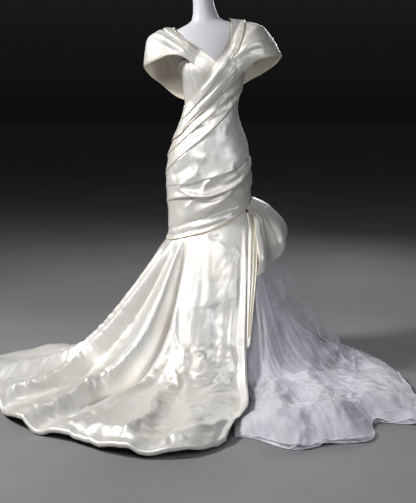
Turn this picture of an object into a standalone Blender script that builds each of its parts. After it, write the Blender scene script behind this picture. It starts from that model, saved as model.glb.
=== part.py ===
"""Mermaid evening dress of ivory satin and tulle, worn by a limbless dress form on its stand.

Metres, +Z up. The front faces -Y and the wearer's left side is +X. The origin is the centre of the
stand base's underside, on the floor. Angles run round the body in degrees: 0 at the centre front,
90 at the wearer's left side, 180 at the centre back and -90 at the wearer's right side.
"""

import math

import bmesh
import bpy
import numpy as np

# Driving sizes
SATIN = 0.0022
NET = 0.0020
SEAM_GAP = 0.0004
BODICE_ROOM = 0.0030
COLLAR_RIGHT_ROOM = 0.0066
COLLAR_LAP = 0.0026
SATIN_SEAT = 0.0070
TULLE_SEAT = 0.0036
FLOOR_GAP = 0.0004
BASE_RADIUS = 0.17
BASE_HEIGHT = 0.014
POLE_RADIUS = 0.016
FORM_FOOT = 0.70
NECK_TOP = 1.70
SHOULDER_TILT = 0.10
TUCK = 0.006

# The general figure under the dress, as ovals up the body
FIGURE = np.array([
    # height, half width, front depth, back depth, centre across
    (0.60, 0.166, 0.115, 0.125, 0.000),
    (0.70, 0.166, 0.112, 0.130, 0.000),
    (0.80, 0.172, 0.116, 0.142, 0.001),
    (0.90, 0.174, 0.116, 0.146, 0.003),
    (1.00, 0.160, 0.110, 0.132, 0.001),
    (1.10, 0.130, 0.098, 0.104, 0.005),
    (1.19, 0.110, 0.090, 0.090, 0.012),
    (1.28, 0.122, 0.102, 0.096, 0.015),
    (1.35, 0.138, 0.112, 0.104, 0.013),
    (1.42, 0.158, 0.104, 0.104, 0.006),
    (1.47, 0.177, 0.088, 0.094, 0.002),
    (1.50, 0.176, 0.076, 0.084, 0.000),
    (1.52, 0.165, 0.067, 0.075, -0.001),
    (1.535, 0.146, 0.060, 0.068, -0.003),
    (1.548, 0.118, 0.055, 0.062, -0.005),
    (1.558, 0.090, 0.052, 0.059, -0.008),
    (1.570, 0.067, 0.050, 0.056, -0.010),
    (1.590, 0.055, 0.048, 0.053, -0.013),
    (1.620, 0.048, 0.046, 0.051, -0.017),
    (1.660, 0.044, 0.044, 0.050, -0.022),
    (1.700, 0.042, 0.043, 0.049, -0.025),
])
CUP_ANGLE = 38.0
CUP_WIDTH = 27.0
CUP_HEIGHT = 1.345
CUP_REACH = 0.055
CUP_SWELL = 0.015

# Room between the figure and the inside of the hip drape
DRAPE_EASE = np.array([
    # height, room
    (0.60, 0.009),
    (0.78, 0.010),
    (0.90, 0.013),
    (1.00, 0.013),
    (1.10, 0.010),
    (1.18, 0.0070),
    (1.30, 0.0074),
    (1.42, 0.0070),
])

# Fold lines of the front drape from its hidden top edge to its hem: the height of each at seven angles
# round the front, and how far it stands out at the right side, the middle and the left side
FRONT_ANGLES = (-90, -60, -30, 0, 30, 60, 90)
FRONT_FOLDS = (
    # name, heights, stand-out right, middle, left
    ("top edge", (1.075, 1.120, 1.175, 1.240, 1.305, 1.355, 1.385), 0.000, 0.000, 0.000),
    ("upper pleat", (0.985, 1.027, 1.098, 1.165, 1.226, 1.277, 1.335), 0.004, 0.006, 0.006),
    ("lower pleat", (0.905, 0.950, 1.020, 1.094, 1.166, 1.227, 1.290), 0.004, 0.006, 0.006),
    ("hip swag", (0.845, 0.860, 0.868, 0.895, 0.925, 0.972, 1.050), 0.003, 0.006, 0.013),
    ("lap swag", (0.775, 0.798, 0.812, 0.816, 0.858, 0.925, 0.975), 0.005, 0.015, 0.010),
    ("cross fold", (0.668, 0.685, 0.717, 0.770, 0.812, 0.842, 0.872), 0.004, 0.013, 0.007),
    ("hem roll", (0.634, 0.645, 0.668, 0.702, 0.742, 0.782, 0.808), 0.007, 0.007, 0.007),
    ("hem", (0.611, 0.616, 0.638, 0.664, 0.706, 0.752, 0.780), 0.0125, 0.0125, 0.0125),
)
BACK_ANGLES = (90, 120, 150, 180, 210, 240, 270)
BACK_FOLDS = (
    # name, heights, stand-out left, middle, right
    ("top edge", (1.385, 1.310, 1.262, 1.220, 1.175, 1.120, 1.075), 0.000, 0.000, 0.000),
    ("waist pleat", (1.290, 1.225, 1.170, 1.120, 1.065, 1.020, 0.985), 0.006, 0.006, 0.004),
    ("hip pleat", (1.050, 1.030, 1.000, 0.970, 0.940, 0.915, 0.905), 0.009, 0.006, 0.004),
    ("seat swag", (0.975, 0.950, 0.915, 0.885, 0.858, 0.845, 0.845), 0.008, 0.007, 0.002),
    ("cross fold", (0.872, 0.850, 0.820, 0.785, 0.745, 0.705, 0.668), 0.004, 0.007, 0.004),
    ("hem roll", (0.808, 0.792, 0.765, 0.735, 0.700, 0.665, 0.634), 0.007, 0.007, 0.007),
    ("hem", (0.780, 0.765, 0.740, 0.710, 0.675, 0.640, 0.611), 0.0125, 0.0125, 0.0125),
)
FOLD_DROP = 0.16
COVERED = 0.60

# Bodice top edge, and its panels between princess and side seams
BODICE_WAIST = 1.13
BODICE_TOP = np.array([
    # angle, height
    (-180, 1.300),
    (-120, 1.315),
    (-90, 1.352),
    (-45, 1.400),
    (0, 1.372),
    (45, 1.400),
    (90, 1.352),
    (120, 1.315),
    (180, 1.300),
])
BODICE_PANELS = (
    # node, from angle, to angle, columns
    ("bodice_side_front_right", -92, -36, 7),
    ("bodice_centre_front", -36, 36, 9),
    ("bodice_side_front_left", 36, 92, 7),
    ("bodice_back", 92, 268, 18),
)

# Portrait collars, from the front end to the back end. Each row is one section across the band:
# its neck edge, its fold, its crown and its outer edge. Points inside the body are moved out onto it.
COLLAR_LEFT = np.array([
    # neck x, y, z, fold x, y, z, crown x, y, z, outer x, y, z
    (-0.106, 0.012, 1.200, -0.132, 0.012, 1.112, -0.145, 0.012, 1.078, -0.155, 0.012, 1.042),
    (-0.096, -0.050, 1.212, -0.112, -0.052, 1.143, -0.120, -0.055, 1.105, -0.126, -0.056, 1.072),
    (-0.070, -0.080, 1.250, -0.072, -0.075, 1.185, -0.080, -0.078, 1.150, -0.086, -0.080, 1.118),
    (-0.040, -0.098, 1.285, -0.028, -0.096, 1.236, -0.030, -0.095, 1.203, -0.032, -0.092, 1.170),
    (0.000, -0.118, 1.342, 0.020, -0.112, 1.293, 0.026, -0.108, 1.262, 0.030, -0.100, 1.230),
    (0.040, -0.122, 1.395, 0.068, -0.118, 1.358, 0.082, -0.115, 1.325, 0.094, -0.108, 1.288),
    (0.078, -0.112, 1.436, 0.108, -0.106, 1.415, 0.132, -0.104, 1.388, 0.152, -0.090, 1.348),
    (0.098, -0.090, 1.478, 0.138, -0.094, 1.465, 0.175, -0.102, 1.440, 0.208, -0.094, 1.392),
    (0.098, -0.062, 1.520, 0.152, -0.070, 1.515, 0.215, -0.085, 1.480, 0.262, -0.078, 1.408),
    (0.092, -0.022, 1.556, 0.157, -0.028, 1.558, 0.232, -0.040, 1.525, 0.306, -0.044, 1.420),
    (0.086, 0.026, 1.564, 0.158, 0.024, 1.560, 0.236, 0.014, 1.532, 0.325, 0.004, 1.420),
    (0.074, 0.072, 1.535, 0.150, 0.070, 1.530, 0.225, 0.062, 1.495, 0.302, 0.056, 1.386),
    (0.054, 0.098, 1.480, 0.128, 0.096, 1.470, 0.190, 0.096, 1.430, 0.250, 0.094, 1.350),
    (0.026, 0.100, 1.425, 0.090, 0.098, 1.405, 0.140, 0.104, 1.372, 0.184, 0.106, 1.314),
    (-0.006, 0.100, 1.378, 0.042, 0.098, 1.345, 0.084, 0.096, 1.315, 0.118, 0.090, 1.270),
    (-0.040, 0.098, 1.330, -0.010, 0.096, 1.285, 0.020, 0.092, 1.255, 0.050, 0.088, 1.215),
])
COLLAR_RIGHT = np.array([
    # neck x, y, z, fold x, y, z, crown x, y, z, outer x, y, z
    (0.058, -0.108, 1.360, 0.050, -0.108, 1.342, 0.040, -0.108, 1.322, 0.030, -0.108, 1.302),
    (0.030, -0.108, 1.392, 0.022, -0.108, 1.374, 0.014, -0.108, 1.354, 0.006, -0.108, 1.334),
    (-0.030, -0.104, 1.435, -0.039, -0.108, 1.415, -0.049, -0.112, 1.394, -0.058, -0.116, 1.376),
    (-0.078, -0.098, 1.470, -0.090, -0.105, 1.452, -0.102, -0.113, 1.431, -0.114, -0.122, 1.412),
    (-0.118, -0.074, 1.497, -0.133, -0.085, 1.480, -0.152, -0.100, 1.456, -0.168, -0.116, 1.416),
    (-0.140, -0.048, 1.520, -0.166, -0.062, 1.506, -0.200, -0.084, 1.478, -0.222, -0.098, 1.396),
    (-0.150, -0.010, 1.538, -0.188, -0.020, 1.526, -0.240, -0.040, 1.494, -0.268, -0.058, 1.378),
    (-0.146, 0.030, 1.542, -0.190, 0.022, 1.530, -0.246, 0.010, 1.490, -0.283, 0.000, 1.372),
    (-0.128, 0.066, 1.524, -0.172, 0.064, 1.505, -0.224, 0.060, 1.458, -0.256, 0.054, 1.335),
    (-0.098, 0.088, 1.488, -0.140, 0.090, 1.460, -0.186, 0.092, 1.400, -0.208, 0.090, 1.298),
    (-0.064, 0.096, 1.440, -0.098, 0.098, 1.405, -0.130, 0.100, 1.340, -0.150, 0.098, 1.250),
    (-0.028, 0.098, 1.390, -0.052, 0.096, 1.350, -0.074, 0.092, 1.288, -0.090, 0.080, 1.226),
    (0.010, 0.098, 1.345, -0.006, 0.096, 1.310, -0.022, 0.090, 1.262, -0.032, 0.086, 1.214),
])
COLLAR_FOLD = 0.0045
COLLAR_COLUMNS = (0.0, 0.15, 0.27, 0.33, 0.38, 0.52, 0.68, 0.84, 1.0)

# How the skirts fall and spread: where the cloth meets the floor, where its hem lies, how hollow its
# fall is, and how high it puffs above the floor
SATIN_SPREAD = np.array([
    # angle, landing radius, hem radius, hollow, puff
    (-236, 0.50, 0.680, 1.10, 0.008),
    (-216, 0.49, 0.690, 1.20, 0.008),
    (-180, 0.48, 0.700, 1.25, 0.008),
    (-144, 0.48, 0.680, 1.25, 0.008),
    (-125, 0.50, 0.660, 1.30, 0.008),
    (-113, 0.54, 0.680, 1.33, 0.008),
    (-105, 0.58, 0.780, 1.33, 0.008),
    (-98, 0.62, 0.920, 1.33, 0.006),
    (-92, 0.63, 1.020, 1.33, 0.006),
    (-79, 0.62, 1.080, 1.33, 0.006),
    (-60, 0.58, 1.000, 1.30, 0.008),
    (-45, 0.53, 1.035, 1.25, 0.008),
    (-30, 0.48, 1.005, 1.20, 0.010),
    (-13, 0.45, 1.035, 1.15, 0.014),
    (0, 0.43, 0.955, 1.15, 0.016),
    (5, 0.42, 0.885, 1.15, 0.016),
    (12, 0.425, 0.880, 1.12, 0.016),
    (20, 0.435, 0.880, 1.07, 0.016),
    (30, 0.460, 0.880, 1.02, 0.016),
    (45, 0.510, 0.880, 0.98, 0.012),
    (60, 0.57, 0.880, 0.96, 0.010),
    (90, 0.63, 0.880, 0.94, 0.010),
])
TULLE_SPREAD = np.array([
    # angle, landing radius, hem radius, hollow, puff
    (0, 0.39, 0.840, 1.05, 0.070),
    (12, 0.40, 0.860, 1.05, 0.080),
    (17, 0.40, 0.965, 1.06, 0.090),
    (26, 0.415, 0.985, 1.04, 0.095),
    (36, 0.445, 1.030, 1.02, 0.085),
    (43, 0.48, 0.940, 1.00, 0.070),
    (50, 0.51, 1.080, 0.98, 0.050),
    (57, 0.53, 1.060, 0.98, 0.042),
    (62, 0.54, 0.970, 0.98, 0.038),
    (70, 0.56, 0.910, 0.98, 0.036),
    (80, 0.575, 0.850, 0.98, 0.034),
    (90, 0.575, 0.800, 0.98, 0.032),
    (99, 0.56, 0.750, 1.00, 0.030),
    (108, 0.53, 0.700, 1.05, 0.028),
    (125, 0.46, 0.660, 1.15, 0.020),
    (150, 0.43, 0.640, 1.20, 0.020),
])
# How softly the fall turns into the floor, how the cloth widens on its way down, the share of its way in
# which the folds grow in from the seam, and how straight the sides of a fold are
FALL_ROUND = 0.24
SPREAD_POWER = 1.20
TOP_FLAT = 0.10
FOLD_STRAIGHT = 0.4

# The open side edges of the skirts as they go down: share of the way, then angles
SKIRT_EDGES = np.array([
    # down, satin front edge, tulle front edge, tulle to train, tulle back edge, satin back edge
    (0.000, 62.0, 55.0, 100.0, 134.0, 124.0),
    (0.075, 55.0, 49.0, 96.0, 133.0, 124.0),
    (0.150, 43.5, 39.0, 91.0, 132.0, 124.0),
    (0.235, 35.0, 32.0, 86.0, 128.0, 124.0),
    (0.315, 29.4, 29.0, 81.0, 124.8, 124.0),
    (0.380, 25.8, 27.0, 77.0, 123.0, 124.0),
    (0.450, 22.8, 24.0, 72.0, 123.0, 124.0),
    (0.550, 19.3, 20.4, 66.0, 123.0, 124.0),
    (0.750, 13.5, 14.7, 56.0, 123.0, 124.0),
    (0.860, 8.9, 12.8, 51.0, 123.0, 124.0),
    (1.000, 4.5, 12.0, 46.0, 123.0, 124.0),
])
SATIN_PANELS = (
    # node, first fold line, last fold line
    ("skirt_front", "front edge", "hip foot"),
    ("skirt_side_right", "hip foot", "flute 5"),
    ("skirt_train", "flute 5", "back edge"),
)

# Fold lines of the skirts, front edge first: the angle of each and how far it stands out, in
# millimetres, at seven places from the hip seam to the hem
LINE_STOPS = (0.0, 0.15, 0.30, 0.45, 0.60, 0.80, 1.0)
SATIN_LINES = (
    # name, angles, heights
    ("front edge", (62, 43.5, 30.2, 22.8, 18, 11.6, 4.5), (0, 2, 3, 3, 3, 3, 2)),
    ("cascade ridge", (54, 38, 26.0, 19.6, 15, 9.3, 3.0), (0, 5, 12, 16, 14, 12, 8)),
    ("cascade valley", (46, 32, 20.5, 14.5, 11, 6.6, 1.2), (0, -4, -16, -24, -20, -8, 2)),
    ("lap foot", (30, 22, 14.5, 8.5, 5.5, 2.5, -1), (0, 2, 0, -4, -2, 2, 4)),
    ("lap ridge", (24, 17, 11, 5, 2, -1, -4), (0, 6, 10, 14, 18, 22, 24)),
    ("knee foot", (-3, -5, -8, -12.5, -12.5, -11.5, -11.5), (0, 0, -2, -4, 0, 4, 4)),
    ("knee ridge", (-8, -11, -15, -19, -17.5, -15.5, -15), (0, 6, 14, 24, 28, 32, 30)),
    ("beige foot", (-19, -19, -21, -26.5, -28.5, -28, -28), (0, 4, 4, 2, 4, 4, 4)),
    ("beige ridge", (-24, -23.5, -25.5, -31, -33, -31.5, -31), (3, 22, 36, 44, 46, 44, 34)),
    ("sweep foot", (-31.5, -32.5, -35.5, -42, -44.5, -40, -38.5), (-6, -26, -44, -50, -40, -14, 0)),
    ("sweep ridge", (-35.5, -37.5, -40, -47, -49.5, -44.5, -42.5), (6, 34, 54, 66, 66, 60, 44)),
    ("side foot", (-50, -58, -66, -70, -65, -59, -54.5), (-3, -14, -22, -22, -16, -6, 0)),
    ("side ridge", (-57, -65, -72, -75, -69.5, -63, -58), (3, 24, 42, 54, 56, 52, 36)),
    ("hip foot", (-74, -79, -82, -84, -82, -77, -72), (0, -6, -12, -14, -10, -2, 0)),
    ("hip ridge", (-82, -85, -87, -88.5, -88, -84, -80), (4, 19, 35, 46, 46, 40, 28)),
    ("back foot", (-94, -95, -96, -97, -96, -94, -92), (0, -6, -12, -14, -8, 0, 2)),
    ("back ridge", (-102, -102, -102, -102, -102, -101, -101), (3, 16, 34, 45, 43, 34, 24)),
)
BACK_LINES_FROM, BACK_LINES_TO = -110, -234
BACK_FLUTES = 14
BACK_HEIGHTS = ((0, -2, -4, -4, -3, 0, 0), (3, 18, 36, 48, 46, 38, 26))
TULLE_LINES = (
    # name, angles, heights
    ("front edge", (55, 39, 29.3, 24, 19.6, 14, 12), (0, 2, 3, 2, 0, 0, 0)),
    ("first shade", (57, 44, 34, 27.5, 21.5, 16, 13), (0, -3, -8, -10, -10, -6, -3)),
    ("first ridge", (61, 50, 41, 32, 25.5, 18.5, 15), (0, 6, 14, 18, 18, 14, 10)),
    ("second shade", (72, 64, 55, 45, 35, 27, 22), (0, -4, -12, -16, -15, -8, -2)),
    ("third ridge", (80, 71, 63, 59, 48, 34, 28), (0, 8, 17, 22, 22, 16, 12)),
    ("fourth shade", (88, 81, 75, 72, 58, 44, 36), (0, -3, -10, -14, -12, -8, -2)),
    ("side ridge", (98, 91, 86, 81, 74, 52, 43), (0, 8, 18, 22, 20, 18, 12)),
    ("side shade", (107, 101, 96, 91, 86, 66, 54), (0, -3, -8, -10, -10, -6, -2)),
    ("train ridge", (116, 110, 105, 99, 95, 82, 70), (0, 8, 18, 22, 20, 18, 12)),
    ("train shade", (124, 118, 113, 106, 104, 98, 90), (0, -3, -8, -10, -10, -6, -2)),
    ("back edge", (135, 134, 130, 124, 124, 124, 124), (0, 4, 8, 8, 8, 6, 4)),
)

# Hip fan: the gathered peplum that springs from the left hip
FAN_EDGES = np.array([
    # down, front edge angle, back edge angle
    (0.00, 62, 114),
    (0.25, 49, 114),
    (0.50, 43, 114),
    (1.00, 37, 114),
])
FAN_FLARE = np.array([
    # angle, flare, foot height
    (38, 0.168, 0.488),
    (46, 0.152, 0.500),
    (55, 0.154, 0.515),
    (66, 0.154, 0.548),
    (78, 0.150, 0.578),
    (90, 0.150, 0.590),
    (114, 0.120, 0.620),
])
FAN_PROFILE = np.array([
    # down, share of flare
    (0.00, 0.00),
    (0.12, 0.36),
    (0.35, 0.71),
    (0.55, 0.92),
    (0.72, 1.00),
    (0.86, 0.99),
    (1.00, 0.90),
])
FAN_LAP = 0.022
FAN_ROOM = 0.0130
FAN_PLEATS = 3
FAN_PLEAT_DEPTH = 0.011

# Cascade: three pressed folds that hang from the root of the fan down the satin's front edge
CASCADE_FOLDS = 3
CASCADE = np.array([
    # down, width in degrees, half depth of a fold
    (0.00, 6.0, 0.0025),
    (0.25, 13.0, 0.0045),
    (0.45, 10.0, 0.0045),
    (0.70, 6.0, 0.0035),
    (1.00, 2.0, 0.0010),
])
CASCADE_ROOM = 0.0005
CASCADE_LIFT = 0.006
CASCADE_FROM, CASCADE_TO = 0.035, 0.385


def ease(table, column, at):
    """A column of a table as a smooth curve of its first column, flat beyond the ends."""
    stops, values = table[:, 0], table[:, column]
    at = np.clip(at, stops[0], stops[-1])
    slopes = np.gradient(values, stops)
    i = np.clip(np.searchsorted(stops, at, side="right") - 1, 0, len(stops) - 2)
    gap = stops[i + 1] - stops[i]
    t = (at - stops[i]) / gap
    rise = values[i + 1] - values[i]
    return (
        values[i]
        + rise * t * t * (3 - 2 * t)
        + gap * slopes[i] * t * (1 - t) ** 2
        - gap * slopes[i + 1] * t * t * (1 - t)
    )


def smooth(at, low, high):
    """0 below low, 1 above high, and an S between."""
    t = np.clip((at - low) / (high - low), 0, 1)
    return t * t * (3 - 2 * t)


def turn(angle):
    """The angle brought to between -180 and 180."""
    return (np.asarray(angle, float) + 180) % 360 - 180


def cup_swell(angle, height):
    side = (np.abs(turn(angle)) - CUP_ANGLE) / CUP_WIDTH
    up = (height - CUP_HEIGHT) / CUP_REACH
    return CUP_SWELL * np.exp(-side * side - up * up)


def figure(angle, height, out=0.0):
    """A point on the figure at an angle and height, moved out by a distance."""
    angle, height, out = np.broadcast_arrays(angle, height, out)
    turned = np.radians(angle)
    depth = np.where(np.cos(turned) > 0, ease(FIGURE, 2, height), ease(FIGURE, 3, height))
    out = out + cup_swell(angle, height)
    x = ease(FIGURE, 4, height) + (ease(FIGURE, 1, height) + out) * np.sin(turned)
    y = -(depth + out) * np.cos(turned)
    return np.stack([x, y, height + shoulder_rise(x, height)], axis=-1)


def shoulder_rise(x, height):
    """The left shoulder stands a little higher than the right one."""
    return SHOULDER_TILT * x * smooth(height, 1.34, 1.48) * (1 - smooth(height, 1.60, 1.66))


def figure_share(points):
    """1 on the figure's surface, less inside it and more outside."""
    x, y, z = np.moveaxis(points, -1, 0)
    height = z - shoulder_rise(x, z)
    across = x - ease(FIGURE, 4, height)
    half = ease(FIGURE, 1, height)
    depth = np.where(y < 0, ease(FIGURE, 2, height), ease(FIGURE, 3, height))
    swell = cup_swell(np.degrees(np.arctan2(across / half, -y / depth)), height)
    return np.hypot(across / (half + swell), y / (depth + swell))


def clear_of_figure(points, out):
    """Points that lie nearer to the figure than a distance, moved straight out to it."""
    for _ in range(6):
        share = figure_share(points)
        steps = np.eye(3) * 0.0005
        slope = np.stack([(figure_share(points + step) - share) / 0.0005 for step in steps], axis=-1)
        steep = np.linalg.norm(slope, axis=-1)
        short = np.maximum(out - (share - 1) / steep, 0)
        points = points + slope / steep[..., None] * np.minimum(short, 0.03)[..., None]
    return points


def grid_normals(grid):
    """Unit normals of a grid of points, from its rows and columns."""
    normals = np.cross(np.gradient(grid, axis=0), np.gradient(grid, axis=1))
    return normals / np.linalg.norm(normals, axis=-1, keepdims=True)


def outward_normals(grid):
    """The normals of a grid that mostly point away from the figure."""
    normals = grid_normals(grid)
    return normals * np.sign(np.sum(normals * (grid - grid.mean(axis=(0, 1)) * (0, 0, 1)), axis=-1).mean())


def material(name, colour, roughness, metallic=0.0):
    made = bpy.data.materials.new(name)
    made.use_nodes = True
    shader = made.node_tree.nodes["Principled BSDF"]
    shader.inputs["Base Color"].default_value = (*colour, 1.0)
    shader.inputs["Roughness"].default_value = roughness
    shader.inputs["Metallic"].default_value = metallic
    made.diffuse_color = (*colour, 1.0)
    return made


def solid(name, points, faces, finish):
    """One named object from points and faces, its faces turned outwards."""
    mesh = bpy.data.meshes.new(name)
    mesh.from_pydata([tuple(p) for p in points], [], faces)
    body = bmesh.new()
    body.from_mesh(mesh)
    bmesh.ops.recalc_face_normals(body, faces=body.faces)
    body.to_mesh(mesh)
    body.free()
    mesh.materials.append(finish)
    mesh.shade_smooth()
    mesh.set_sharp_from_angle(angle=math.radians(50))
    made = bpy.data.objects.new(name, mesh)
    bpy.context.scene.collection.objects.link(made)
    return made


def wall(name, outer, inner, finish):
    """A cloth wall between two grids of points, closed along its four edges."""
    rows, columns = outer.shape[:2]
    count = rows * columns
    faces = []
    for i in range(rows - 1):
        for j in range(columns - 1):
            a, b = i * columns + j, i * columns + j + 1
            c, d = b + columns, a + columns
            for p, q, r in ((a, b, c), (a, c, d)):
                faces.append((p, q, r))
                faces.append((count + r, count + q, count + p))
    rim = [(0, j) for j in range(columns)]
    rim += [(i, columns - 1) for i in range(1, rows)]
    rim += [(rows - 1, j) for j in range(columns - 2, -1, -1)]
    rim += [(i, 0) for i in range(rows - 2, 0, -1)]
    ring = [i * columns + j for i, j in rim]
    for a, b in zip(ring, ring[1:] + ring[:1]):
        faces.append((b, a, count + a, count + b))
    points = np.concatenate([outer.reshape(-1, 3), inner.reshape(-1, 3)])
    return solid(name, points, faces, finish)


def turned(name, rings, finish):
    """A solid from a stack of closed rings, capped at both ends."""
    around = len(rings[0])
    faces = []
    for i in range(len(rings) - 1):
        for j in range(around):
            k = (j + 1) % around
            faces.append((i * around + j, i * around + k, (i + 1) * around + k, (i + 1) * around + j))
    faces.append(tuple(range(around)))
    faces.append(tuple((len(rings) - 1) * around + j for j in range(around)))
    return solid(name, np.concatenate(rings), faces, finish)


def circle(radius, height, around):
    angles = np.arange(around) * 2 * math.pi / around
    flat = np.full(around, height)
    return np.stack([radius * np.sin(angles), -radius * np.cos(angles), flat], axis=-1)


# Dress form and stand


def make_form(finish):
    angles = np.arange(24) * 360 / 24
    heights = [0.70, 0.78, 0.86, 0.93, 1.00, 1.06, 1.12, 1.155, 1.19, 1.24, 1.295, 1.345, 1.39, 1.43, 1.47]
    heights += [1.50, 1.52, 1.535, 1.548, 1.558, 1.570, 1.590, 1.620, 1.66, NECK_TOP]
    rings = [figure(angles, height) for height in heights]
    turned("form_body", rings, finish)


def make_neck_cap(finish):
    """The plain turned block that closes the neck."""
    angles = np.arange(20) * 360 / 20
    profile = ((0.0003, 0.003), (0.008, 0.004), (0.016, 0.000), (0.024, -0.012), (0.029, -0.030))
    rings = []
    for rise, out in profile:
        ring = figure(angles, NECK_TOP, out)
        ring[:, 2] = NECK_TOP + rise
        rings.append(ring)
    turned("form_neck_cap", rings, finish)


def make_stand(finish):
    profile = ((BASE_RADIUS, 0.0), (BASE_RADIUS, 0.008), (BASE_RADIUS - 0.004, 0.012), (0.03, BASE_HEIGHT))
    turned("stand_base", [circle(radius, height, 32) for radius, height in profile], finish)
    foot, head = BASE_HEIGHT + 0.0003, FORM_FOOT - 0.0003
    turned("stand_pole", [circle(POLE_RADIUS, height, 20) for height in (foot, head)], finish)


# Bodice


def make_bodice(finish):
    inset = math.degrees(SEAM_GAP / FIGURE[7, 1])
    for name, start, end, columns in BODICE_PANELS:
        angles = np.linspace(start + inset, end - inset, columns)
        down = np.linspace(0, 1, 7)[:, None]
        top = ease(BODICE_TOP, 1, turn(angles))
        heights = top + (BODICE_WAIST - top) * down
        inner = figure(angles, heights, BODICE_ROOM)
        outer = figure(angles, heights, BODICE_ROOM + SATIN)
        wall(name, outer, inner, finish)


# Drape round the torso and hips


def fold_table(angles, folds):
    """Heights of the fold lines and how far they stand out, as curves of the angle."""
    spread = np.array(angles, float)
    thirds = np.array([angles[0], angles[3], angles[-1]], float)
    heights = [np.stack([spread, np.array(f[1])], axis=1) for f in folds]
    reliefs = [np.stack([thirds, np.array(f[2:5])], axis=1) for f in folds]
    return heights, reliefs


def drape_point(angles, folds, angle, line):
    """Height and stand-out of the drape at an angle and at a place between fold lines. Each fold swells
    slowly down to its line and then drops back, as a pressed pleat does."""
    heights, reliefs = fold_table(angles, folds)
    angle, line = np.broadcast_arrays(np.asarray(angle, float), np.asarray(line, float))
    level = np.stack([ease(table, 1, angle) for table in heights])
    relief = np.stack([ease(table, 1, angle) for table in reliefs])
    i = np.clip(np.floor(line).astype(int), 0, len(folds) - 2)
    t = line - i
    take = lambda stack, k: np.take_along_axis(stack, k[None], axis=0)[0]
    height = take(level, i) * (1 - t) + take(level, i + 1) * t
    covered = np.where(i == 0, COVERED, 0.25)
    swell = take(relief, i + 1) * smooth(t, covered, 1.0) ** 1.3
    keep = np.where(i == len(folds) - 2, 1.0, FOLD_DROP)
    drop = take(relief, i) * (1 - smooth(t, 0.0, keep))
    return height, swell + drop


def drape_grid(angles, folds, angle, line, lift):
    height, relief = drape_point(angles, folds, angle, line)
    room = ease(DRAPE_EASE, 1, height)
    return figure(angle, height, room + relief + lift)


def make_drape(name, angles, folds, columns, finish):
    inset = math.degrees(SEAM_GAP / FIGURE[3, 1])
    angle = np.linspace(angles[0] + inset, angles[-1] - inset, columns)
    lines = [0.0, 0.5]
    for k in range(1, len(folds) - 1):
        lines += [k - 0.22, k, k + FOLD_DROP]
        lines += [k + 0.5] * (k < len(folds) - 2)
    lines.append(len(folds) - 1.0)
    line = np.array(lines)[:, None]
    inner = drape_grid(angles, folds, angle, line, 0.0)
    outer = drape_grid(angles, folds, angle, line, SATIN)
    wall(name, outer, inner, finish)


# Portrait collars


def collar_grid(table, along, across):
    """Points of a collar: along it from end to end, and across it from the neck edge to the outer edge."""
    rows = np.column_stack([np.arange(len(table)), table])
    neck, fold, crown, outer = (
        np.stack([ease(rows, 1 + 3 * k + axis, along) for axis in range(3)], axis=-1) for k in range(4)
    )
    w = 3 * across[..., None]
    return (
        neck * (1 - w) * (2 - w) * (3 - w) / 6
        + fold * w * (2 - w) * (3 - w) / 2
        + crown * w * (w - 1) * (3 - w) / 2
        + outer * w * (w - 1) * (w - 2) / 6
    )


def collar_relief(along, across, last, flat_start, flat_end):
    """The inner strip of a collar stands over the outer strip at its fold."""
    inner = smooth(across, 0.0, 0.31) * (1 - smooth(across, 0.33, 0.38))
    strip = np.sin(math.pi * np.clip((across - 0.38) / 0.62, 0, 1)) * 0.7
    ends = smooth(along, flat_start, flat_start + 1.5)
    ends = ends * (1 - smooth(along, last - flat_end - 2.0, last - flat_end))
    return COLLAR_FOLD * (inner + strip) * ends


def make_collar(name, table, sections, layer, flats, finish):
    last = len(table) - 1
    along = np.linspace(0, last, sections)[:, None]
    across = np.array(COLLAR_COLUMNS)[None, :]
    along, across = np.broadcast_arrays(along, across)
    middle = collar_grid(table, along, across)
    normals = outward_normals(middle)
    relief = collar_relief(along, across, last, *flats)
    middle = middle + normals * relief[..., None]
    room = relief * (1 - smooth(middle[..., 2], 1.40, 1.46)) + COLLAR_RIGHT_ROOM
    room += layer * (ease(DRAPE_EASE, 1, middle[..., 2]) - DRAPE_EASE[-1, 1] + SATIN + COLLAR_LAP)
    inner = clear_of_figure(middle - normals * SATIN / 2, room)
    outer = clear_of_figure(middle + normals * SATIN / 2, room + SATIN)
    wall(name, outer, inner, finish)


# Skirts


def hem_height(angle):
    """Height of the drape's hem all round."""
    front = np.column_stack([FRONT_ANGLES, FRONT_FOLDS[-1][1]])
    back = np.column_stack([BACK_ANGLES, BACK_FOLDS[-1][1]])
    angle = turn(angle)
    behind = np.where(angle < 0, angle + 360, angle)
    return np.where(np.abs(angle) <= 90, ease(front, 1, angle), ease(back, 1, behind))


def line_levels(lines, down):
    """Angles and heights of fold lines at each row of a grid."""
    stops = np.array(LINE_STOPS)
    angles = np.stack([ease(np.column_stack([stops, line[1]]), 1, down) for line in lines])
    heights = np.stack([ease(np.column_stack([stops, line[2]]), 1, down) for line in lines])
    return angles, heights / 1000


def fold_height(lines, angle, down):
    """How far a skirt stands out between its fold lines: round ridges and round valleys. Each row of the
    grid lies at one place down the skirt."""
    centres, heights = line_levels(lines, down[:, 0])
    result = np.zeros(angle.shape)
    for row in range(len(angle)):
        order = np.argsort(centres[:, row])
        stops, levels = centres[order, row], heights[order, row]
        k = np.clip(np.searchsorted(stops, angle[row]) - 1, 0, len(stops) - 2)
        t = np.clip((angle[row] - stops[k]) / (stops[k + 1] - stops[k]), 0, 1)
        side = FOLD_STRAIGHT * t + (1 - FOLD_STRAIGHT) * t * t * (3 - 2 * t)
        result[row] = levels[k] + (levels[k + 1] - levels[k]) * side
    return result


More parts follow.
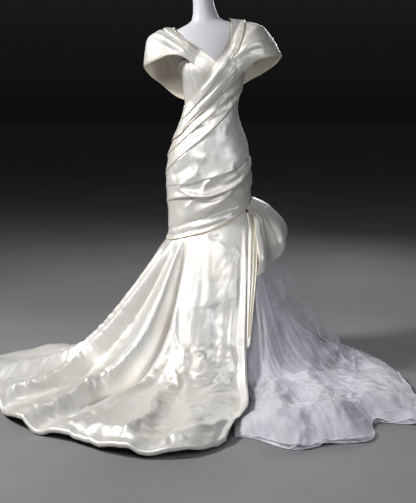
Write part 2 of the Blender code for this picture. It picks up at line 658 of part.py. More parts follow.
def satin_lines():
    """The named lines of the front, then the even flutes of the side and back."""
    lines = list(SATIN_LINES)
    spread = np.linspace(BACK_LINES_FROM, BACK_LINES_TO, BACK_FLUTES + 1)
    for k, angle in enumerate(spread):
        lines.append((f"flute {k}", (angle,) * len(LINE_STOPS), BACK_HEIGHTS[k % 2]))
    return lines


def skirt_grid(spread, lines, seat, angle, down, lift):
    """Points of a skirt: angle round it, and down it from the hip seam (0) to the hem (1). seat is how
    far out its top edge stands, and lift moves it out of itself."""
    angle, down = np.broadcast_arrays(np.asarray(angle, float), np.asarray(down, float))
    top = hem_height(angle) + TUCK
    start = figure(angle, top, ease(DRAPE_EASE, 1, top) + seat)
    turned_to = np.radians(angle)
    way = np.stack([np.sin(turned_to), -np.cos(turned_to), np.zeros_like(turned_to)], axis=-1)
    start_reach = np.hypot(start[..., 0], start[..., 1])
    landing, hem, hollow, puff = (ease(spread, k, angle) for k in (1, 2, 3, 4))
    lean = start * (1, 1, 0) - way * start_reach[..., None]

    def base(down):
        reach = start_reach + (hem - start_reach) * down**SPREAD_POWER
        left = 1 - (reach - start_reach) / (landing - start_reach)
        fall = (left + np.sqrt(left * left + FALL_ROUND**2)) / (1 + math.sqrt(1 + FALL_ROUND**2))
        edge = np.sqrt(np.clip(1 - smooth(down, 0.80, 1.0) ** 2, 0, 1))
        height = top * fall**hollow + puff * smooth(down, 0.35, 0.62) * edge * roll
        return reach, height + FLOOR_GAP

    roll = 0.2 + 0.8 * smooth(angle - edge_angles(down, 2), 0, 8) if spread is TULLE_SPREAD else 1.0
    step = 0.002
    reach, height = base(down)
    reach_after, height_after = base(np.minimum(down + step, 1))
    reach_before, height_before = base(np.maximum(down - step, 0))
    along, fallen = reach_after - reach_before, height_before - height_after
    length = np.hypot(along, fallen)
    upright = smooth(down, 0.62, 0.80)
    out_way = np.where(length > 0, fallen / length, 0) * (1 - upright)
    up_way = np.sqrt(1 - out_way**2)
    folds = fold_height(lines, angle, down) * smooth(down, 0.0, TOP_FLAT)
    out = reach + out_way * (folds + lift)
    points = way * out[..., None] + lean * (1 - smooth(down, 0.0, 0.5))[..., None]
    points[..., 2] = np.maximum(height + up_way * folds, FLOOR_GAP) + up_way * lift
    return points


def edge_angles(down, column):
    return ease(SKIRT_EDGES, column, down)


def skirt_rows(count):
    return np.linspace(0, 1, count)[:, None]


def panel_angles(first, last, down):
    """Angles of a panel's columns: one along each of its fold lines and one between each two."""
    lines = satin_lines()
    names = [line[0] for line in lines]
    angles = line_levels(lines, down[:, 0])[0]
    angles[0] = edge_angles(down[:, 0], 1)
    angles = np.concatenate([angles, edge_angles(down[:, 0], 5)[None] - 360])
    names.append("back edge")
    chosen = angles[names.index(first) : names.index(last) + 1].T
    columns = np.empty((len(down), 2 * chosen.shape[1] - 1))
    columns[:, ::2] = chosen
    columns[:, 1::2] = (chosen[:, 1:] + chosen[:, :-1]) / 2
    return columns


def make_satin_skirt(finish):
    down = skirt_rows(16)
    gap = SEAM_GAP / 2
    lines = satin_lines()
    for name, first, last in SATIN_PANELS:
        angle = panel_angles(first, last, down)
        inner = skirt_grid(SATIN_SPREAD, lines, SATIN_SEAT - SATIN, angle, down, 0.0)
        outer = skirt_grid(SATIN_SPREAD, lines, SATIN_SEAT - SATIN, angle, down, SATIN)
        for grid in (inner, outer):
            part_at_seam(grid, gap, name != "skirt_front", name != "skirt_train")
        wall(name, outer, inner, finish)


def part_at_seam(grid, gap, first, last):
    """Draws a panel's side edges in by half a seam's gap."""
    if first:
        step = grid[:, 1] - grid[:, 0]
        grid[:, 0] += step / np.linalg.norm(step, axis=-1, keepdims=True) * gap
    if last:
        step = grid[:, -2] - grid[:, -1]
        grid[:, -1] += step / np.linalg.norm(step, axis=-1, keepdims=True) * gap


def make_tulle(finish):
    down = skirt_rows(13)
    seat = TULLE_SEAT - NET
    edges = ((2, 3, "tulle_skirt", 18), (3, 4, "tulle_train", 16))
    for start, end, name, columns in edges:
        share = np.linspace(0, 1, columns)[None, :]
        angle = edge_angles(down, start) * (1 - share) + edge_angles(down, end) * share
        inner = skirt_grid(TULLE_SPREAD, TULLE_LINES, seat, angle, down, 0.0)
        outer = skirt_grid(TULLE_SPREAD, TULLE_LINES, seat, angle, down, NET)
        for grid in (inner, outer):
            part_at_seam(grid, SEAM_GAP / 2, start == 3, end == 3)
        wall(name, outer, inner, finish)


# Hip fan and cascade


def fan_grid(share, down):
    """Points of the fan: share round it from its front edge to its back edge, and down it."""
    share, down = np.broadcast_arrays(np.asarray(share, float), np.asarray(down, float))
    front, back = ease(FAN_EDGES, 1, down), ease(FAN_EDGES, 2, down)
    angle = front + (back - front) * share
    lap = FAN_LAP * smooth(angle, 66, 84)
    top = hem_height(angle) + lap
    foot = ease(FAN_FLARE, 2, angle)
    pleat = FAN_PLEAT_DEPTH * np.sin(2 * math.pi * FAN_PLEATS * share) * smooth(down, 0.02, 0.6)
    flare = ease(FAN_FLARE, 1, angle) * ease(FAN_PROFILE, 1, down)
    out = ease(DRAPE_EASE, 1, top) + SATIN + FAN_ROOM + flare + pleat
    points = figure(angle, top, out)
    points[..., 2] = top + (foot - top) * down
    return points


def make_fan(finish):
    share = np.linspace(0, 1, 22)[None, :]
    down = np.linspace(0, 1, 8)[:, None]
    middle = fan_grid(share, down)
    normals = outward_normals(middle)
    wall("hip_fan", middle + normals * SATIN / 2, middle - normals * SATIN / 2, finish)


def cascade_grid(across, down):
    along = CASCADE_FROM + (CASCADE_TO - CASCADE_FROM) * down
    angle = edge_angles(along, 1) - 1.0 + ease(CASCADE, 1, down) * across
    fold = ease(CASCADE, 2, down) * (1 - np.cos(2 * math.pi * CASCADE_FOLDS * across))
    away = SATIN * 1.5 + CASCADE_ROOM + fold + CASCADE_LIFT * down**2
    along = np.broadcast_to(along, angle.shape)
    return skirt_grid(SATIN_SPREAD, satin_lines(), SATIN_SEAT - SATIN, angle, along, away)


def make_cascade(finish):
    across = np.linspace(0, 1, 4 * CASCADE_FOLDS + 1)[None, :]
    down = np.linspace(0, 1, 10)[:, None]
    middle = cascade_grid(across, down)
    normals = outward_normals(middle)
    wall("hip_cascade", middle + normals * SATIN / 2, middle - normals * SATIN / 2, finish)


def main():
    for old in list(bpy.data.objects):
        bpy.data.objects.remove(old)
    satin = material("ivory_satin", (0.86, 0.83, 0.76), 0.32)
    tulle = material("white_tulle", (0.90, 0.90, 0.92), 0.80)
    shell = material("form_shell", (0.88, 0.88, 0.92), 0.45)
    metal = material("stand_metal", (0.60, 0.60, 0.62), 0.35, 1.0)
    make_form(shell)
    make_neck_cap(shell)
    make_stand(metal)
    make_bodice(satin)
    make_drape("drape_front", FRONT_ANGLES, FRONT_FOLDS, 20, satin)
    make_drape("drape_back", BACK_ANGLES, BACK_FOLDS, 16, satin)
    make_collar("collar_left", COLLAR_LEFT, 26, 1, (0.0, 0.0), satin)
    make_collar("collar_right", COLLAR_RIGHT, 21, 0, (1.5, 1.5), satin)
    make_satin_skirt(satin)
    make_tulle(tulle)
    make_fan(satin)
    make_cascade(satin)


main()
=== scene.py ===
"""Looks of the mermaid evening dress of ivory satin and tulle, on its limbless dress form.

Metres, +Z up. The front faces -Y and the wearer's left side is +X. Angles run round the body in degrees:
0 at the centre front, 90 at the wearer's left side, 180 at the centre back and -90 at the right side.
Each cloth panel is one thin shell on the form of its solid, with its folds and creases in the mesh.
"""

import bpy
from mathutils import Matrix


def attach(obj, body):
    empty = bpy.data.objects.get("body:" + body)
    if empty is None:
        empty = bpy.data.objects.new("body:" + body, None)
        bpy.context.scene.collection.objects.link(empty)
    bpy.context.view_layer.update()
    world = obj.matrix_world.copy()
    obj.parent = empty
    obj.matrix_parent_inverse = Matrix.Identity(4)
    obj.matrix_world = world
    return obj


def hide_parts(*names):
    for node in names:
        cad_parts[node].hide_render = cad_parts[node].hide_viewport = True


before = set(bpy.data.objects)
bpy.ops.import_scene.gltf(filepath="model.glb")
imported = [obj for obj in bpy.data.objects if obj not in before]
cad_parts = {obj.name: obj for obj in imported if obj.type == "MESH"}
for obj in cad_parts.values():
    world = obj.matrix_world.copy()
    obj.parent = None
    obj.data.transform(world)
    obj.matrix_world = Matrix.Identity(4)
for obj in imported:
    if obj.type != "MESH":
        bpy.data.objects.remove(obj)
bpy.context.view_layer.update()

import math
from functools import partial

import bpy
import numpy as np

# Thickness of the satin shells made here, and of the solids' walls of satin and net
SATIN_SHELL = 0.0014
SATIN = 0.0022
NET = 0.0020
# Room under each piece: from the figure to bodice and right collar, from the right collar to the left one,
# from the figure to the top edge of each skirt beyond the drape's own room, and from the floor to the cloth
# with the least lift of its middle above that
BODICE_ROOM = 0.0030
COLLAR_RIGHT_ROOM = 0.0066
COLLAR_LAP = 0.0026
SATIN_SEAT = 0.0070
TULLE_SEAT = 0.0036
FLOOR_GAP = 0.0004
LEAST_LIFT = 0.0004
# How far the end of the collar's band is bent in, and how far the skirts reach up under the drape
BAND_END_IN = 0.0060
TUCK = 0.006
# Heights over which a collar's swell stops pushing it out, and over which the bend of the band's end sets in
SWELL_STOPS = (1.40, 1.46)
BAND_END_FROM = (1.08, 1.10)
# Radius of the fine cords along hems, pleats and edges, whose satin is tinted as painted shade, and of the
# net's rolled hems
HEM_CORD = 0.0018
PLEAT_CORD = 0.0010
COLLAR_CORD = 0.0011
FAN_CORD = 0.0012
NET_HEM = 0.0014
THREAD_SIDES = 4
# How far the cords stand out from the cloth
HEM_CORD_OUT, PLEAT_CORD_OUT, COLLAR_CORD_OUT = 0.0010, 0.0006, 0.0002
# Degrees by which the panels of bodice and drape stop short of their seams
BODICE_GAP, DRAPE_GAP = 0.10, 0.15

# The general figure under the dress, as ovals up the body
FIGURE = np.array([
    # height, half width, front depth, back depth, centre across
    (0.60, 0.166, 0.115, 0.125, 0.000),
    (0.70, 0.166, 0.112, 0.130, 0.000),
    (0.80, 0.172, 0.116, 0.142, 0.001),
    (0.90, 0.174, 0.116, 0.146, 0.003),
    (1.00, 0.160, 0.110, 0.132, 0.001),
    (1.10, 0.130, 0.098, 0.104, 0.005),
    (1.19, 0.110, 0.090, 0.090, 0.012),
    (1.28, 0.122, 0.102, 0.096, 0.015),
    (1.35, 0.138, 0.112, 0.104, 0.013),
    (1.42, 0.158, 0.104, 0.104, 0.006),
    (1.47, 0.177, 0.088, 0.094, 0.002),
    (1.50, 0.176, 0.076, 0.084, 0.000),
    (1.52, 0.165, 0.067, 0.075, -0.001),
    (1.535, 0.146, 0.060, 0.068, -0.003),
    (1.548, 0.118, 0.055, 0.062, -0.005),
    (1.558, 0.090, 0.052, 0.059, -0.008),
    (1.570, 0.067, 0.050, 0.056, -0.010),
    (1.590, 0.055, 0.048, 0.053, -0.013),
    (1.620, 0.048, 0.046, 0.051, -0.017),
    (1.660, 0.044, 0.044, 0.050, -0.022),
    (1.700, 0.042, 0.043, 0.049, -0.025),
])
# The bust: the angle, height and half sizes of each cup, and how far it swells
CUP_ANGLE = 38.0
CUP_WIDTH = 27.0
CUP_HEIGHT = 1.345
CUP_REACH = 0.055
CUP_SWELL = 0.015
# The slope across the body that raises the left shoulder, the heights at which it sets in, and those at
# which the neck ends it
SHOULDER_TILT = 0.10
SHOULDER_FROM, SHOULDER_TO = 1.34, 1.48
NECK_FROM, NECK_TO = 1.60, 1.66
# Rings of the form: wide-spaced up its body, and close from the shoulders to the top of the neck
BODY_LOW, BODY_HIGH, BODY_RINGS = 0.70, 1.40, 20
SHOULDERS_LOW, NECK_TOP, SHOULDER_RINGS = 1.41, 1.70, 60
# The cap on the neck: rise and stand-out of its rim, then height, reach and rings of the dome above
CAP_RIM = ((0.0003, 0.0012), (0.0020, 0.0030), (0.0060, 0.0040), (0.0110, 0.0036))
CAP_DOME, CAP_REACH, CAP_RINGS = 0.020, 0.038, 14
FORM_COLUMNS = 80

# Room between the figure and the inside of the hip drape
DRAPE_EASE = np.array([
    # height, room
    (0.60, 0.009),
    (0.78, 0.010),
    (0.90, 0.013),
    (1.00, 0.013),
    (1.10, 0.010),
    (1.18, 0.0070),
    (1.30, 0.0074),
    (1.42, 0.0070),
])

# Fold lines of the drape from its hidden top edge to its hem: heights round the body, how far each stands
# out at the two ends and the middle, and the share of the way down to the next line in which it drops back
FRONT_ANGLES = (-90, -60, -30, 0, 30, 60, 90)
FRONT_FOLDS = (
    # name, heights, stand-out right, middle, left
    ("top edge", (1.075, 1.120, 1.175, 1.240, 1.305, 1.355, 1.385), (0.000, 0.000, 0.000), 0.13),
    ("upper pleat", (0.985, 1.027, 1.098, 1.165, 1.226, 1.277, 1.335), (0.004, 0.006, 0.006), 0.12),
    ("lower pleat", (0.905, 0.950, 1.020, 1.094, 1.166, 1.227, 1.290), (0.004, 0.006, 0.006), 0.12),
    ("hip swag", (0.845, 0.860, 0.868, 0.895, 0.925, 0.972, 1.050), (0.003, 0.006, 0.013), 0.18),
    ("lap swag", (0.775, 0.798, 0.812, 0.816, 0.858, 0.925, 0.975), (0.005, 0.015, 0.010), 0.18),
    ("cross fold", (0.668, 0.685, 0.717, 0.770, 0.812, 0.842, 0.872), (0.004, 0.013, 0.007), 0.5),
    ("hem roll", (0.634, 0.645, 0.668, 0.702, 0.742, 0.782, 0.808), (0.007, 0.007, 0.007), 0.6),
    ("hem", (0.611, 0.616, 0.638, 0.664, 0.706, 0.752, 0.780), (0.0125, 0.0125, 0.0125), 0.5),
)
BACK_ANGLES = (90, 120, 150, 180, 210, 240, 270)
BACK_FOLDS = (
    # name, heights, stand-out left, middle, right
    ("top edge", (1.385, 1.310, 1.262, 1.220, 1.175, 1.120, 1.075), (0.000, 0.000, 0.000), 0.13),
    ("waist pleat", (1.290, 1.225, 1.170, 1.120, 1.065, 1.020, 0.985), (0.006, 0.006, 0.004), 0.12),
    ("hip pleat", (1.050, 1.030, 1.000, 0.970, 0.940, 0.915, 0.905), (0.009, 0.006, 0.004), 0.5),
    ("seat swag", (0.975, 0.950, 0.915, 0.885, 0.858, 0.845, 0.845), (0.008, 0.007, 0.002), 0.5),
    ("cross fold", (0.872, 0.850, 0.820, 0.785, 0.745, 0.705, 0.668), (0.004, 0.007, 0.004), 0.5),
    ("hem roll", (0.808, 0.792, 0.765, 0.735, 0.700, 0.665, 0.634), (0.007, 0.007, 0.007), 0.6),
    ("hem", (0.780, 0.765, 0.740, 0.710, 0.675, 0.640, 0.611), (0.0125, 0.0125, 0.0125), 0.5),
)
# A fold that drops back in less than this share is pressed
PRESSED_SPAN = 0.2
# Rows of the mesh from one fold line of the drape to the next, closest at the pressed edge
DRAPE_STEPS = np.concatenate([
    np.linspace(0, 0.13, 7), np.linspace(0.17, 0.90, 12), np.linspace(0.94, 0.98, 2),
])
# The pleats whose edges show a fine cord in painted shade, by their place in the tables of folds
PLEATS_WITH_SHADE_CORD = (1, 2)
# Depth of the drape's slow waves and of its fine crumples, its least room from the figure, and the radius
# at which its creases are measured
DRAPE_WAVE = 0.0016
DRAPE_CRUMPLE = 0.0013
DRAPE_LEAST = 0.0045
BODY_RADIUS = 0.17

# Bodice: its lower edge, hidden under the drape, and its top edge
BODICE_LOW = np.array([
    # angle, height
    (-180, 1.130),
    (-140, 1.115),
    (-110, 1.050),
    (-75, 1.040),
    (-50, 1.100),
    (-36, 1.130),
    (180, 1.130),
])
BODICE_TOP = np.array([
    # angle, height
    (-180, 1.300),
    (-120, 1.315),
    (-90, 1.352),
    (-45, 1.400),
    (0, 1.372),
    (45, 1.400),
    (90, 1.352),
    (120, 1.315),
    (180, 1.300),
])
# Its panels between the princess and side seams
BODICE_PANELS = (
    # node, from angle, to angle, columns
    ("bodice_side_front_right", -92, -36, 50),
    ("bodice_centre_front", -36, 36, 64),
    ("bodice_side_front_left", 36, 92, 50),
    ("bodice_back", 92, 268, 120),
)
BODICE_ROWS = 40
# Depth and half width in degrees of a seam's groove, depth of the crumples, and the most that these stand out
SEAM_DEPTH, SEAM_WIDTH = 0.0016, 1.2
BODICE_CRUMPLE, BODICE_CREST = 0.0009, 0.0008

# Portrait collars, from the front end to the back end. Each row is one section across the band:
# its neck edge, its fold, its crown and its outer edge. Points inside the body are moved out onto it.
COLLAR_LEFT = np.array([
    # neck x, y, z, fold x, y, z, crown x, y, z, outer x, y, z
    (-0.106, 0.012, 1.200, -0.132, 0.012, 1.112, -0.145, 0.012, 1.078, -0.155, 0.012, 1.042),
    (-0.096, -0.050, 1.212, -0.112, -0.052, 1.143, -0.120, -0.055, 1.105, -0.126, -0.056, 1.072),
    (-0.070, -0.080, 1.250, -0.072, -0.075, 1.185, -0.080, -0.078, 1.150, -0.086, -0.080, 1.118),
    (-0.040, -0.098, 1.285, -0.028, -0.096, 1.236, -0.030, -0.095, 1.203, -0.032, -0.092, 1.170),
    (0.000, -0.118, 1.342, 0.020, -0.112, 1.293, 0.026, -0.108, 1.262, 0.030, -0.100, 1.230),
    (0.040, -0.122, 1.395, 0.068, -0.118, 1.358, 0.082, -0.115, 1.325, 0.094, -0.108, 1.288),
    (0.078, -0.112, 1.436, 0.108, -0.106, 1.415, 0.132, -0.104, 1.388, 0.152, -0.090, 1.348),
    (0.098, -0.090, 1.478, 0.138, -0.094, 1.465, 0.175, -0.102, 1.440, 0.208, -0.094, 1.392),
    (0.098, -0.062, 1.520, 0.152, -0.070, 1.515, 0.215, -0.085, 1.480, 0.262, -0.078, 1.408),
    (0.092, -0.022, 1.556, 0.157, -0.028, 1.558, 0.232, -0.040, 1.525, 0.306, -0.044, 1.420),
    (0.086, 0.026, 1.564, 0.158, 0.024, 1.560, 0.236, 0.014, 1.532, 0.325, 0.004, 1.420),
    (0.074, 0.072, 1.535, 0.150, 0.070, 1.530, 0.225, 0.062, 1.495, 0.302, 0.056, 1.386),
    (0.054, 0.098, 1.480, 0.128, 0.096, 1.470, 0.190, 0.096, 1.430, 0.250, 0.094, 1.350),
    (0.026, 0.100, 1.425, 0.090, 0.098, 1.405, 0.140, 0.104, 1.372, 0.184, 0.106, 1.314),
    (-0.006, 0.100, 1.378, 0.042, 0.098, 1.345, 0.084, 0.096, 1.315, 0.118, 0.090, 1.270),
    (-0.040, 0.098, 1.330, -0.010, 0.096, 1.285, 0.020, 0.092, 1.255, 0.050, 0.088, 1.215),
])
COLLAR_RIGHT = np.array([
    # neck x, y, z, fold x, y, z, crown x, y, z, outer x, y, z
    (0.058, -0.108, 1.360, 0.050, -0.108, 1.342, 0.040, -0.108, 1.322, 0.030, -0.108, 1.302),
    (0.030, -0.108, 1.392, 0.022, -0.108, 1.374, 0.014, -0.108, 1.354, 0.006, -0.108, 1.334),
    (-0.030, -0.104, 1.435, -0.039, -0.108, 1.415, -0.049, -0.112, 1.394, -0.058, -0.116, 1.376),
    (-0.078, -0.098, 1.470, -0.090, -0.105, 1.452, -0.102, -0.113, 1.431, -0.114, -0.122, 1.412),
    (-0.118, -0.074, 1.497, -0.133, -0.085, 1.480, -0.152, -0.100, 1.456, -0.168, -0.116, 1.416),
    (-0.140, -0.048, 1.520, -0.166, -0.062, 1.506, -0.200, -0.084, 1.478, -0.222, -0.098, 1.396),
    (-0.150, -0.010, 1.538, -0.188, -0.020, 1.526, -0.240, -0.040, 1.494, -0.268, -0.058, 1.378),
    (-0.146, 0.030, 1.542, -0.190, 0.022, 1.530, -0.246, 0.010, 1.490, -0.283, 0.000, 1.372),
    (-0.128, 0.066, 1.524, -0.172, 0.064, 1.505, -0.224, 0.060, 1.458, -0.256, 0.054, 1.335),
    (-0.098, 0.088, 1.488, -0.140, 0.090, 1.460, -0.186, 0.092, 1.400, -0.208, 0.090, 1.298),
    (-0.064, 0.096, 1.440, -0.098, 0.098, 1.405, -0.130, 0.100, 1.340, -0.150, 0.098, 1.250),
    (-0.028, 0.098, 1.390, -0.052, 0.096, 1.350, -0.074, 0.092, 1.288, -0.090, 0.080, 1.226),
    (0.010, 0.098, 1.345, -0.006, 0.096, 1.310, -0.022, 0.090, 1.262, -0.032, 0.086, 1.214),
])
# Columns of the mesh across a collar, closest at its fold, and the column on the fold
COLLAR_COLUMNS = np.concatenate([
    np.linspace(0, 0.30, 18), np.linspace(0.315, 0.36, 10), np.linspace(0.38, 1, 30),
])
COLLAR_FOLD = 20
# Swell of the collar's two strips, and depth of its slow waves and fine crumples
COLLAR_RELIEF = 0.0060
COLLAR_WAVE = 0.0034
COLLAR_CRUMPLE = 0.0012

# How the skirts fall and spread: where the cloth meets the floor, where its hem lies, how hollow its
# fall is, and how high it puffs above the floor
SATIN_SPREAD = np.array([
    # angle, landing radius, hem radius, hollow, puff
    (-236, 0.50, 0.680, 1.10, 0.008),
    (-216, 0.49, 0.690, 1.20, 0.008),
    (-180, 0.48, 0.700, 1.25, 0.008),
    (-144, 0.48, 0.680, 1.25, 0.008),
    (-125, 0.50, 0.660, 1.30, 0.008),
    (-113, 0.54, 0.680, 1.33, 0.008),
    (-105, 0.58, 0.780, 1.33, 0.008),
    (-98, 0.62, 0.920, 1.33, 0.006),
    (-92, 0.63, 1.020, 1.33, 0.006),
    (-79, 0.62, 1.080, 1.33, 0.006),
    (-60, 0.58, 1.000, 1.30, 0.008),
    (-45, 0.53, 1.035, 1.25, 0.008),
    (-30, 0.48, 1.005, 1.20, 0.010),
    (-13, 0.45, 1.035, 1.15, 0.014),
    (0, 0.43, 0.955, 1.15, 0.016),
    (5, 0.42, 0.885, 1.15, 0.016),
    (12, 0.425, 0.880, 1.12, 0.016),
    (20, 0.435, 0.880, 1.07, 0.016),
    (30, 0.460, 0.880, 1.02, 0.016),
    (45, 0.510, 0.880, 0.98, 0.012),
    (60, 0.57, 0.880, 0.96, 0.010),
    (90, 0.63, 0.880, 0.94, 0.010),
])
TULLE_SPREAD = np.array([
    # angle, landing radius, hem radius, hollow, puff
    (0, 0.39, 0.840, 1.05, 0.070),
    (12, 0.40, 0.860, 1.05, 0.080),
    (17, 0.40, 0.965, 1.06, 0.090),
    (26, 0.415, 0.985, 1.04, 0.095),
    (36, 0.445, 1.030, 1.02, 0.085),
    (43, 0.48, 0.940, 1.00, 0.070),
    (50, 0.51, 1.080, 0.98, 0.050),
    (57, 0.53, 1.060, 0.98, 0.042),
    (62, 0.54, 0.970, 0.98, 0.038),
    (70, 0.56, 0.910, 0.98, 0.036),
    (80, 0.575, 0.850, 0.98, 0.034),
    (90, 0.575, 0.800, 0.98, 0.032),
    (99, 0.56, 0.750, 1.00, 0.030),
    (108, 0.53, 0.700, 1.05, 0.028),
    (125, 0.46, 0.660, 1.15, 0.020),
    (150, 0.43, 0.640, 1.20, 0.020),
])
# How softly the fall turns into the floor, how the cloth widens on its way down, the share of its way in
# which the folds grow in from the seam, and how straight the sides of a fold are
FALL_ROUND = 0.24
SPREAD_POWER = 1.20
TOP_FLAT = 0.10
FOLD_STRAIGHT = 0.4
# Shares of the way down: where the cloth starts to puff, where it lies, and where its edge thins out
PUFF_FROM, LIES_FROM, EDGE_FROM = 0.35, 0.62, 0.80

# The open side edges of the skirts as they go down: share of the way, then angles
SKIRT_EDGES = np.array([
    # down, satin front edge, tulle front edge, tulle to train, tulle back edge, satin back edge
    (0.000, 62.0, 55.0, 100.0, 134.0, 124.0),
    (0.075, 55.0, 49.0, 96.0, 133.0, 124.0),
    (0.150, 43.5, 39.0, 91.0, 132.0, 124.0),
    (0.235, 35.0, 32.0, 86.0, 128.0, 124.0),
    (0.315, 29.4, 29.0, 81.0, 124.8, 124.0),
    (0.380, 25.8, 27.0, 77.0, 123.0, 124.0),
    (0.450, 22.8, 24.0, 72.0, 123.0, 124.0),
    (0.550, 19.3, 20.4, 66.0, 123.0, 124.0),
    (0.750, 13.5, 14.7, 56.0, 123.0, 124.0),
    (0.860, 8.9, 12.8, 51.0, 123.0, 124.0),
    (1.000, 4.5, 12.0, 46.0, 123.0, 124.0),
])
SATIN_PANELS = (
    # node, first fold line, last fold line, columns, rows
    ("skirt_front", "front edge", "hip foot", 200, 225),
    ("skirt_side_right", "hip foot", "flute 5", 130, 180),
    ("skirt_train", "flute 5", "back edge", 110, 150),
)
# Radius of the rolled hem, how far it is lifted, how much that varies, how far round it turns under, and
# the rows of the mesh there
HEM_ROLL = 0.011
HEM_LIFT = 0.012
HEM_WAVE = 0.016
HEM_TURN = 0.92 * math.pi
HEM_ROWS = 10
# How many times the table's puff the satin stands above the floor
HEM_PUFF = 2.0
# How far the fold lines wander, in degrees, and depth of the slow waves between them
FOLD_SWAY = 1.3
SKIRT_WAVE = 0.0050

# Fold lines of the satin skirt, front edge first: the angle of each and how far it stands out, in
# millimetres, at seven places from the hip seam to the hem
LINE_STOPS = (0.0, 0.15, 0.30, 0.45, 0.60, 0.80, 1.0)
SATIN_LINES = (
    # name, angles, heights
    ("front edge", (62, 43.5, 30.2, 22.8, 18, 11.6, 4.5), (0, 2, 3, 3, 3, 3, 2)),
    ("cascade ridge", (57, 40.5, 28, 21.2, 16.5, 10.4, 3.8), (0, 4, 8, 10, 9, 9, 7)),
    ("cascade valley", (52, 36.5, 24.5, 18, 13.8, 8.2, 2.2), (0, -3, -12, -17, -14, -6, 0)),
    ("lap foot", (40, 28.5, 18.5, 12, 8.5, 5, 0), (0, 3, 4, 2, 2, 6, 8)),
    ("lap ridge", (24, 17, 11, 5, 2, -1, -4), (0, 6, 10, 14, 18, 22, 24)),
    ("knee foot", (-3, -5, -8, -12.5, -12.5, -11.5, -11.5), (0, 4, 8, 6, 8, 12, 12)),
    ("knee ridge", (-8, -11, -15, -19, -17.5, -15.5, -15), (0, 6, 14, 24, 28, 32, 30)),
    ("beige foot", (-19, -19, -21, -26.5, -28.5, -28, -28), (0, 10, 18, 18, 18, 18, 14)),
    ("beige ridge", (-24, -23.5, -25.5, -31, -33, -31.5, -31), (3, 14, 24, 32, 36, 36, 28)),
    ("sweep foot", (-31.5, -32.5, -35.5, -42, -44.5, -40, -38.5), (-6, -26, -44, -50, -40, -14, 0)),
    ("sweep ridge", (-35.5, -37.5, -40, -47, -49.5, -44.5, -42.5), (6, 34, 54, 66, 66, 60, 44)),
    ("side foot", (-50, -58, -66, -70, -65, -59, -54.5), (-3, -14, -22, -22, -16, -6, 0)),
    ("side ridge", (-57, -65, -72, -75, -69.5, -63, -58), (3, 24, 42, 54, 56, 52, 36)),
    ("hip foot", (-74, -79, -82, -84, -82, -77, -72), (0, -6, -12, -14, -10, -2, 0)),
    ("hip ridge", (-82, -85, -87, -88.5, -88, -84, -80), (4, 19, 35, 46, 46, 40, 28)),
    ("back foot", (-94, -95, -96, -97, -96, -94, -92), (0, -6, -12, -14, -8, 0, 2)),
    ("back ridge", (-102, -102, -102, -102, -102, -101, -101), (3, 16, 34, 45, 43, 34, 24)),
)
BACK_LINES_FROM, BACK_LINES_TO = -110, -234
BACK_FLUTES = 14
BACK_HEIGHTS = ((0, -2, -4, -4, -3, 0, 0), (3, 18, 36, 48, 46, 38, 26))
TULLE_LINES = (
    # name, angles, heights
    ("front edge", (55, 39, 29.3, 24, 19.6, 14, 12), (0, 2, 3, 2, 0, 0, 0)),
    ("first shade", (57, 44, 34, 27.5, 21.5, 16, 13), (0, -3, -8, -10, -10, -6, -3)),
    ("first ridge", (61, 50, 41, 32, 25.5, 18.5, 15), (0, 6, 14, 18, 18, 14, 10)),
    ("second shade", (72, 64, 55, 45, 35, 27, 22), (0, -4, -12, -16, -15, -8, -2)),
    ("third ridge", (80, 71, 63, 59, 48, 34, 28), (0, 8, 17, 22, 22, 16, 12)),
    ("fourth shade", (88, 81, 75, 72, 58, 44, 36), (0, -3, -10, -14, -12, -8, -2)),
    ("side ridge", (98, 91, 86, 81, 74, 52, 43), (0, 8, 18, 22, 20, 18, 12)),
    ("side shade", (107, 101, 96, 91, 86, 66, 54), (0, -3, -8, -10, -10, -6, -2)),
    ("train ridge", (116, 110, 105, 99, 95, 82, 70), (0, 8, 18, 22, 20, 18, 12)),
    ("train shade", (124, 118, 113, 106, 104, 98, 90), (0, -3, -8, -10, -10, -6, -2)),
    ("back edge", (135, 134, 130, 124, 124, 124, 124), (0, 4, 8, 8, 8, 6, 4)),
)

# Hip fan: the gathered peplum that springs from the left hip
FAN_EDGES = np.array([
    # down, front edge angle, back edge angle
    (0.00, 62, 114),
    (0.25, 46, 114),
    (0.50, 39, 114),
    (1.00, 37, 114),
])
FAN_FLARE = np.array([
    # angle, flare, foot height
    (38, 0.168, 0.488),
    (46, 0.152, 0.500),
    (55, 0.154, 0.515),
    (66, 0.154, 0.548),
    (78, 0.150, 0.578),
    (90, 0.150, 0.590),
    (114, 0.120, 0.620),
])
FAN_PROFILE = np.array([
    # down, share of flare
    (0.00, 0.00),
    (0.12, 0.36),
    (0.35, 0.71),
    (0.55, 0.92),
    (0.72, 1.00),
    (0.86, 0.99),
    (1.00, 0.90),
])
# How far the fan's root laps up over the hem at the back and how far it stands out, then the counts and
# depths of its pleats, fine gathers and waves
FAN_LAP = 0.022
FAN_ROOM = 0.0130
FAN_PLEATS = 3
FAN_GATHERS = 9
FAN_PLEAT_DEPTH = 0.015
FAN_GATHER_DEPTH = 0.0060
FAN_WAVE = 0.0050
FAN_COLUMNS, FAN_ROWS = 130, 90

# Cascade: three pressed folds that hang from the root of the fan down the satin's front edge
CASCADE_FOLDS = 3
CASCADE = np.array([
    # down, width in degrees, half depth of a fold
    (0.00, 7.0, 0.0025),
    (0.25, 14.5, 0.0045),
    (0.45, 11.5, 0.0045),
    (0.70, 6.5, 0.0035),
    (1.00, 2.0, 0.0010),
])
# Room between the cascade and the skirt, and how far its foot lifts off it
CASCADE_ROOM = 0.0005
CASCADE_LIFT = 0.006
# Where it starts and ends down the skirt, and how far inside the skirt's edge it starts, in degrees
CASCADE_FROM, CASCADE_TO = 0.035, 0.385
CASCADE_INSIDE = 1.0
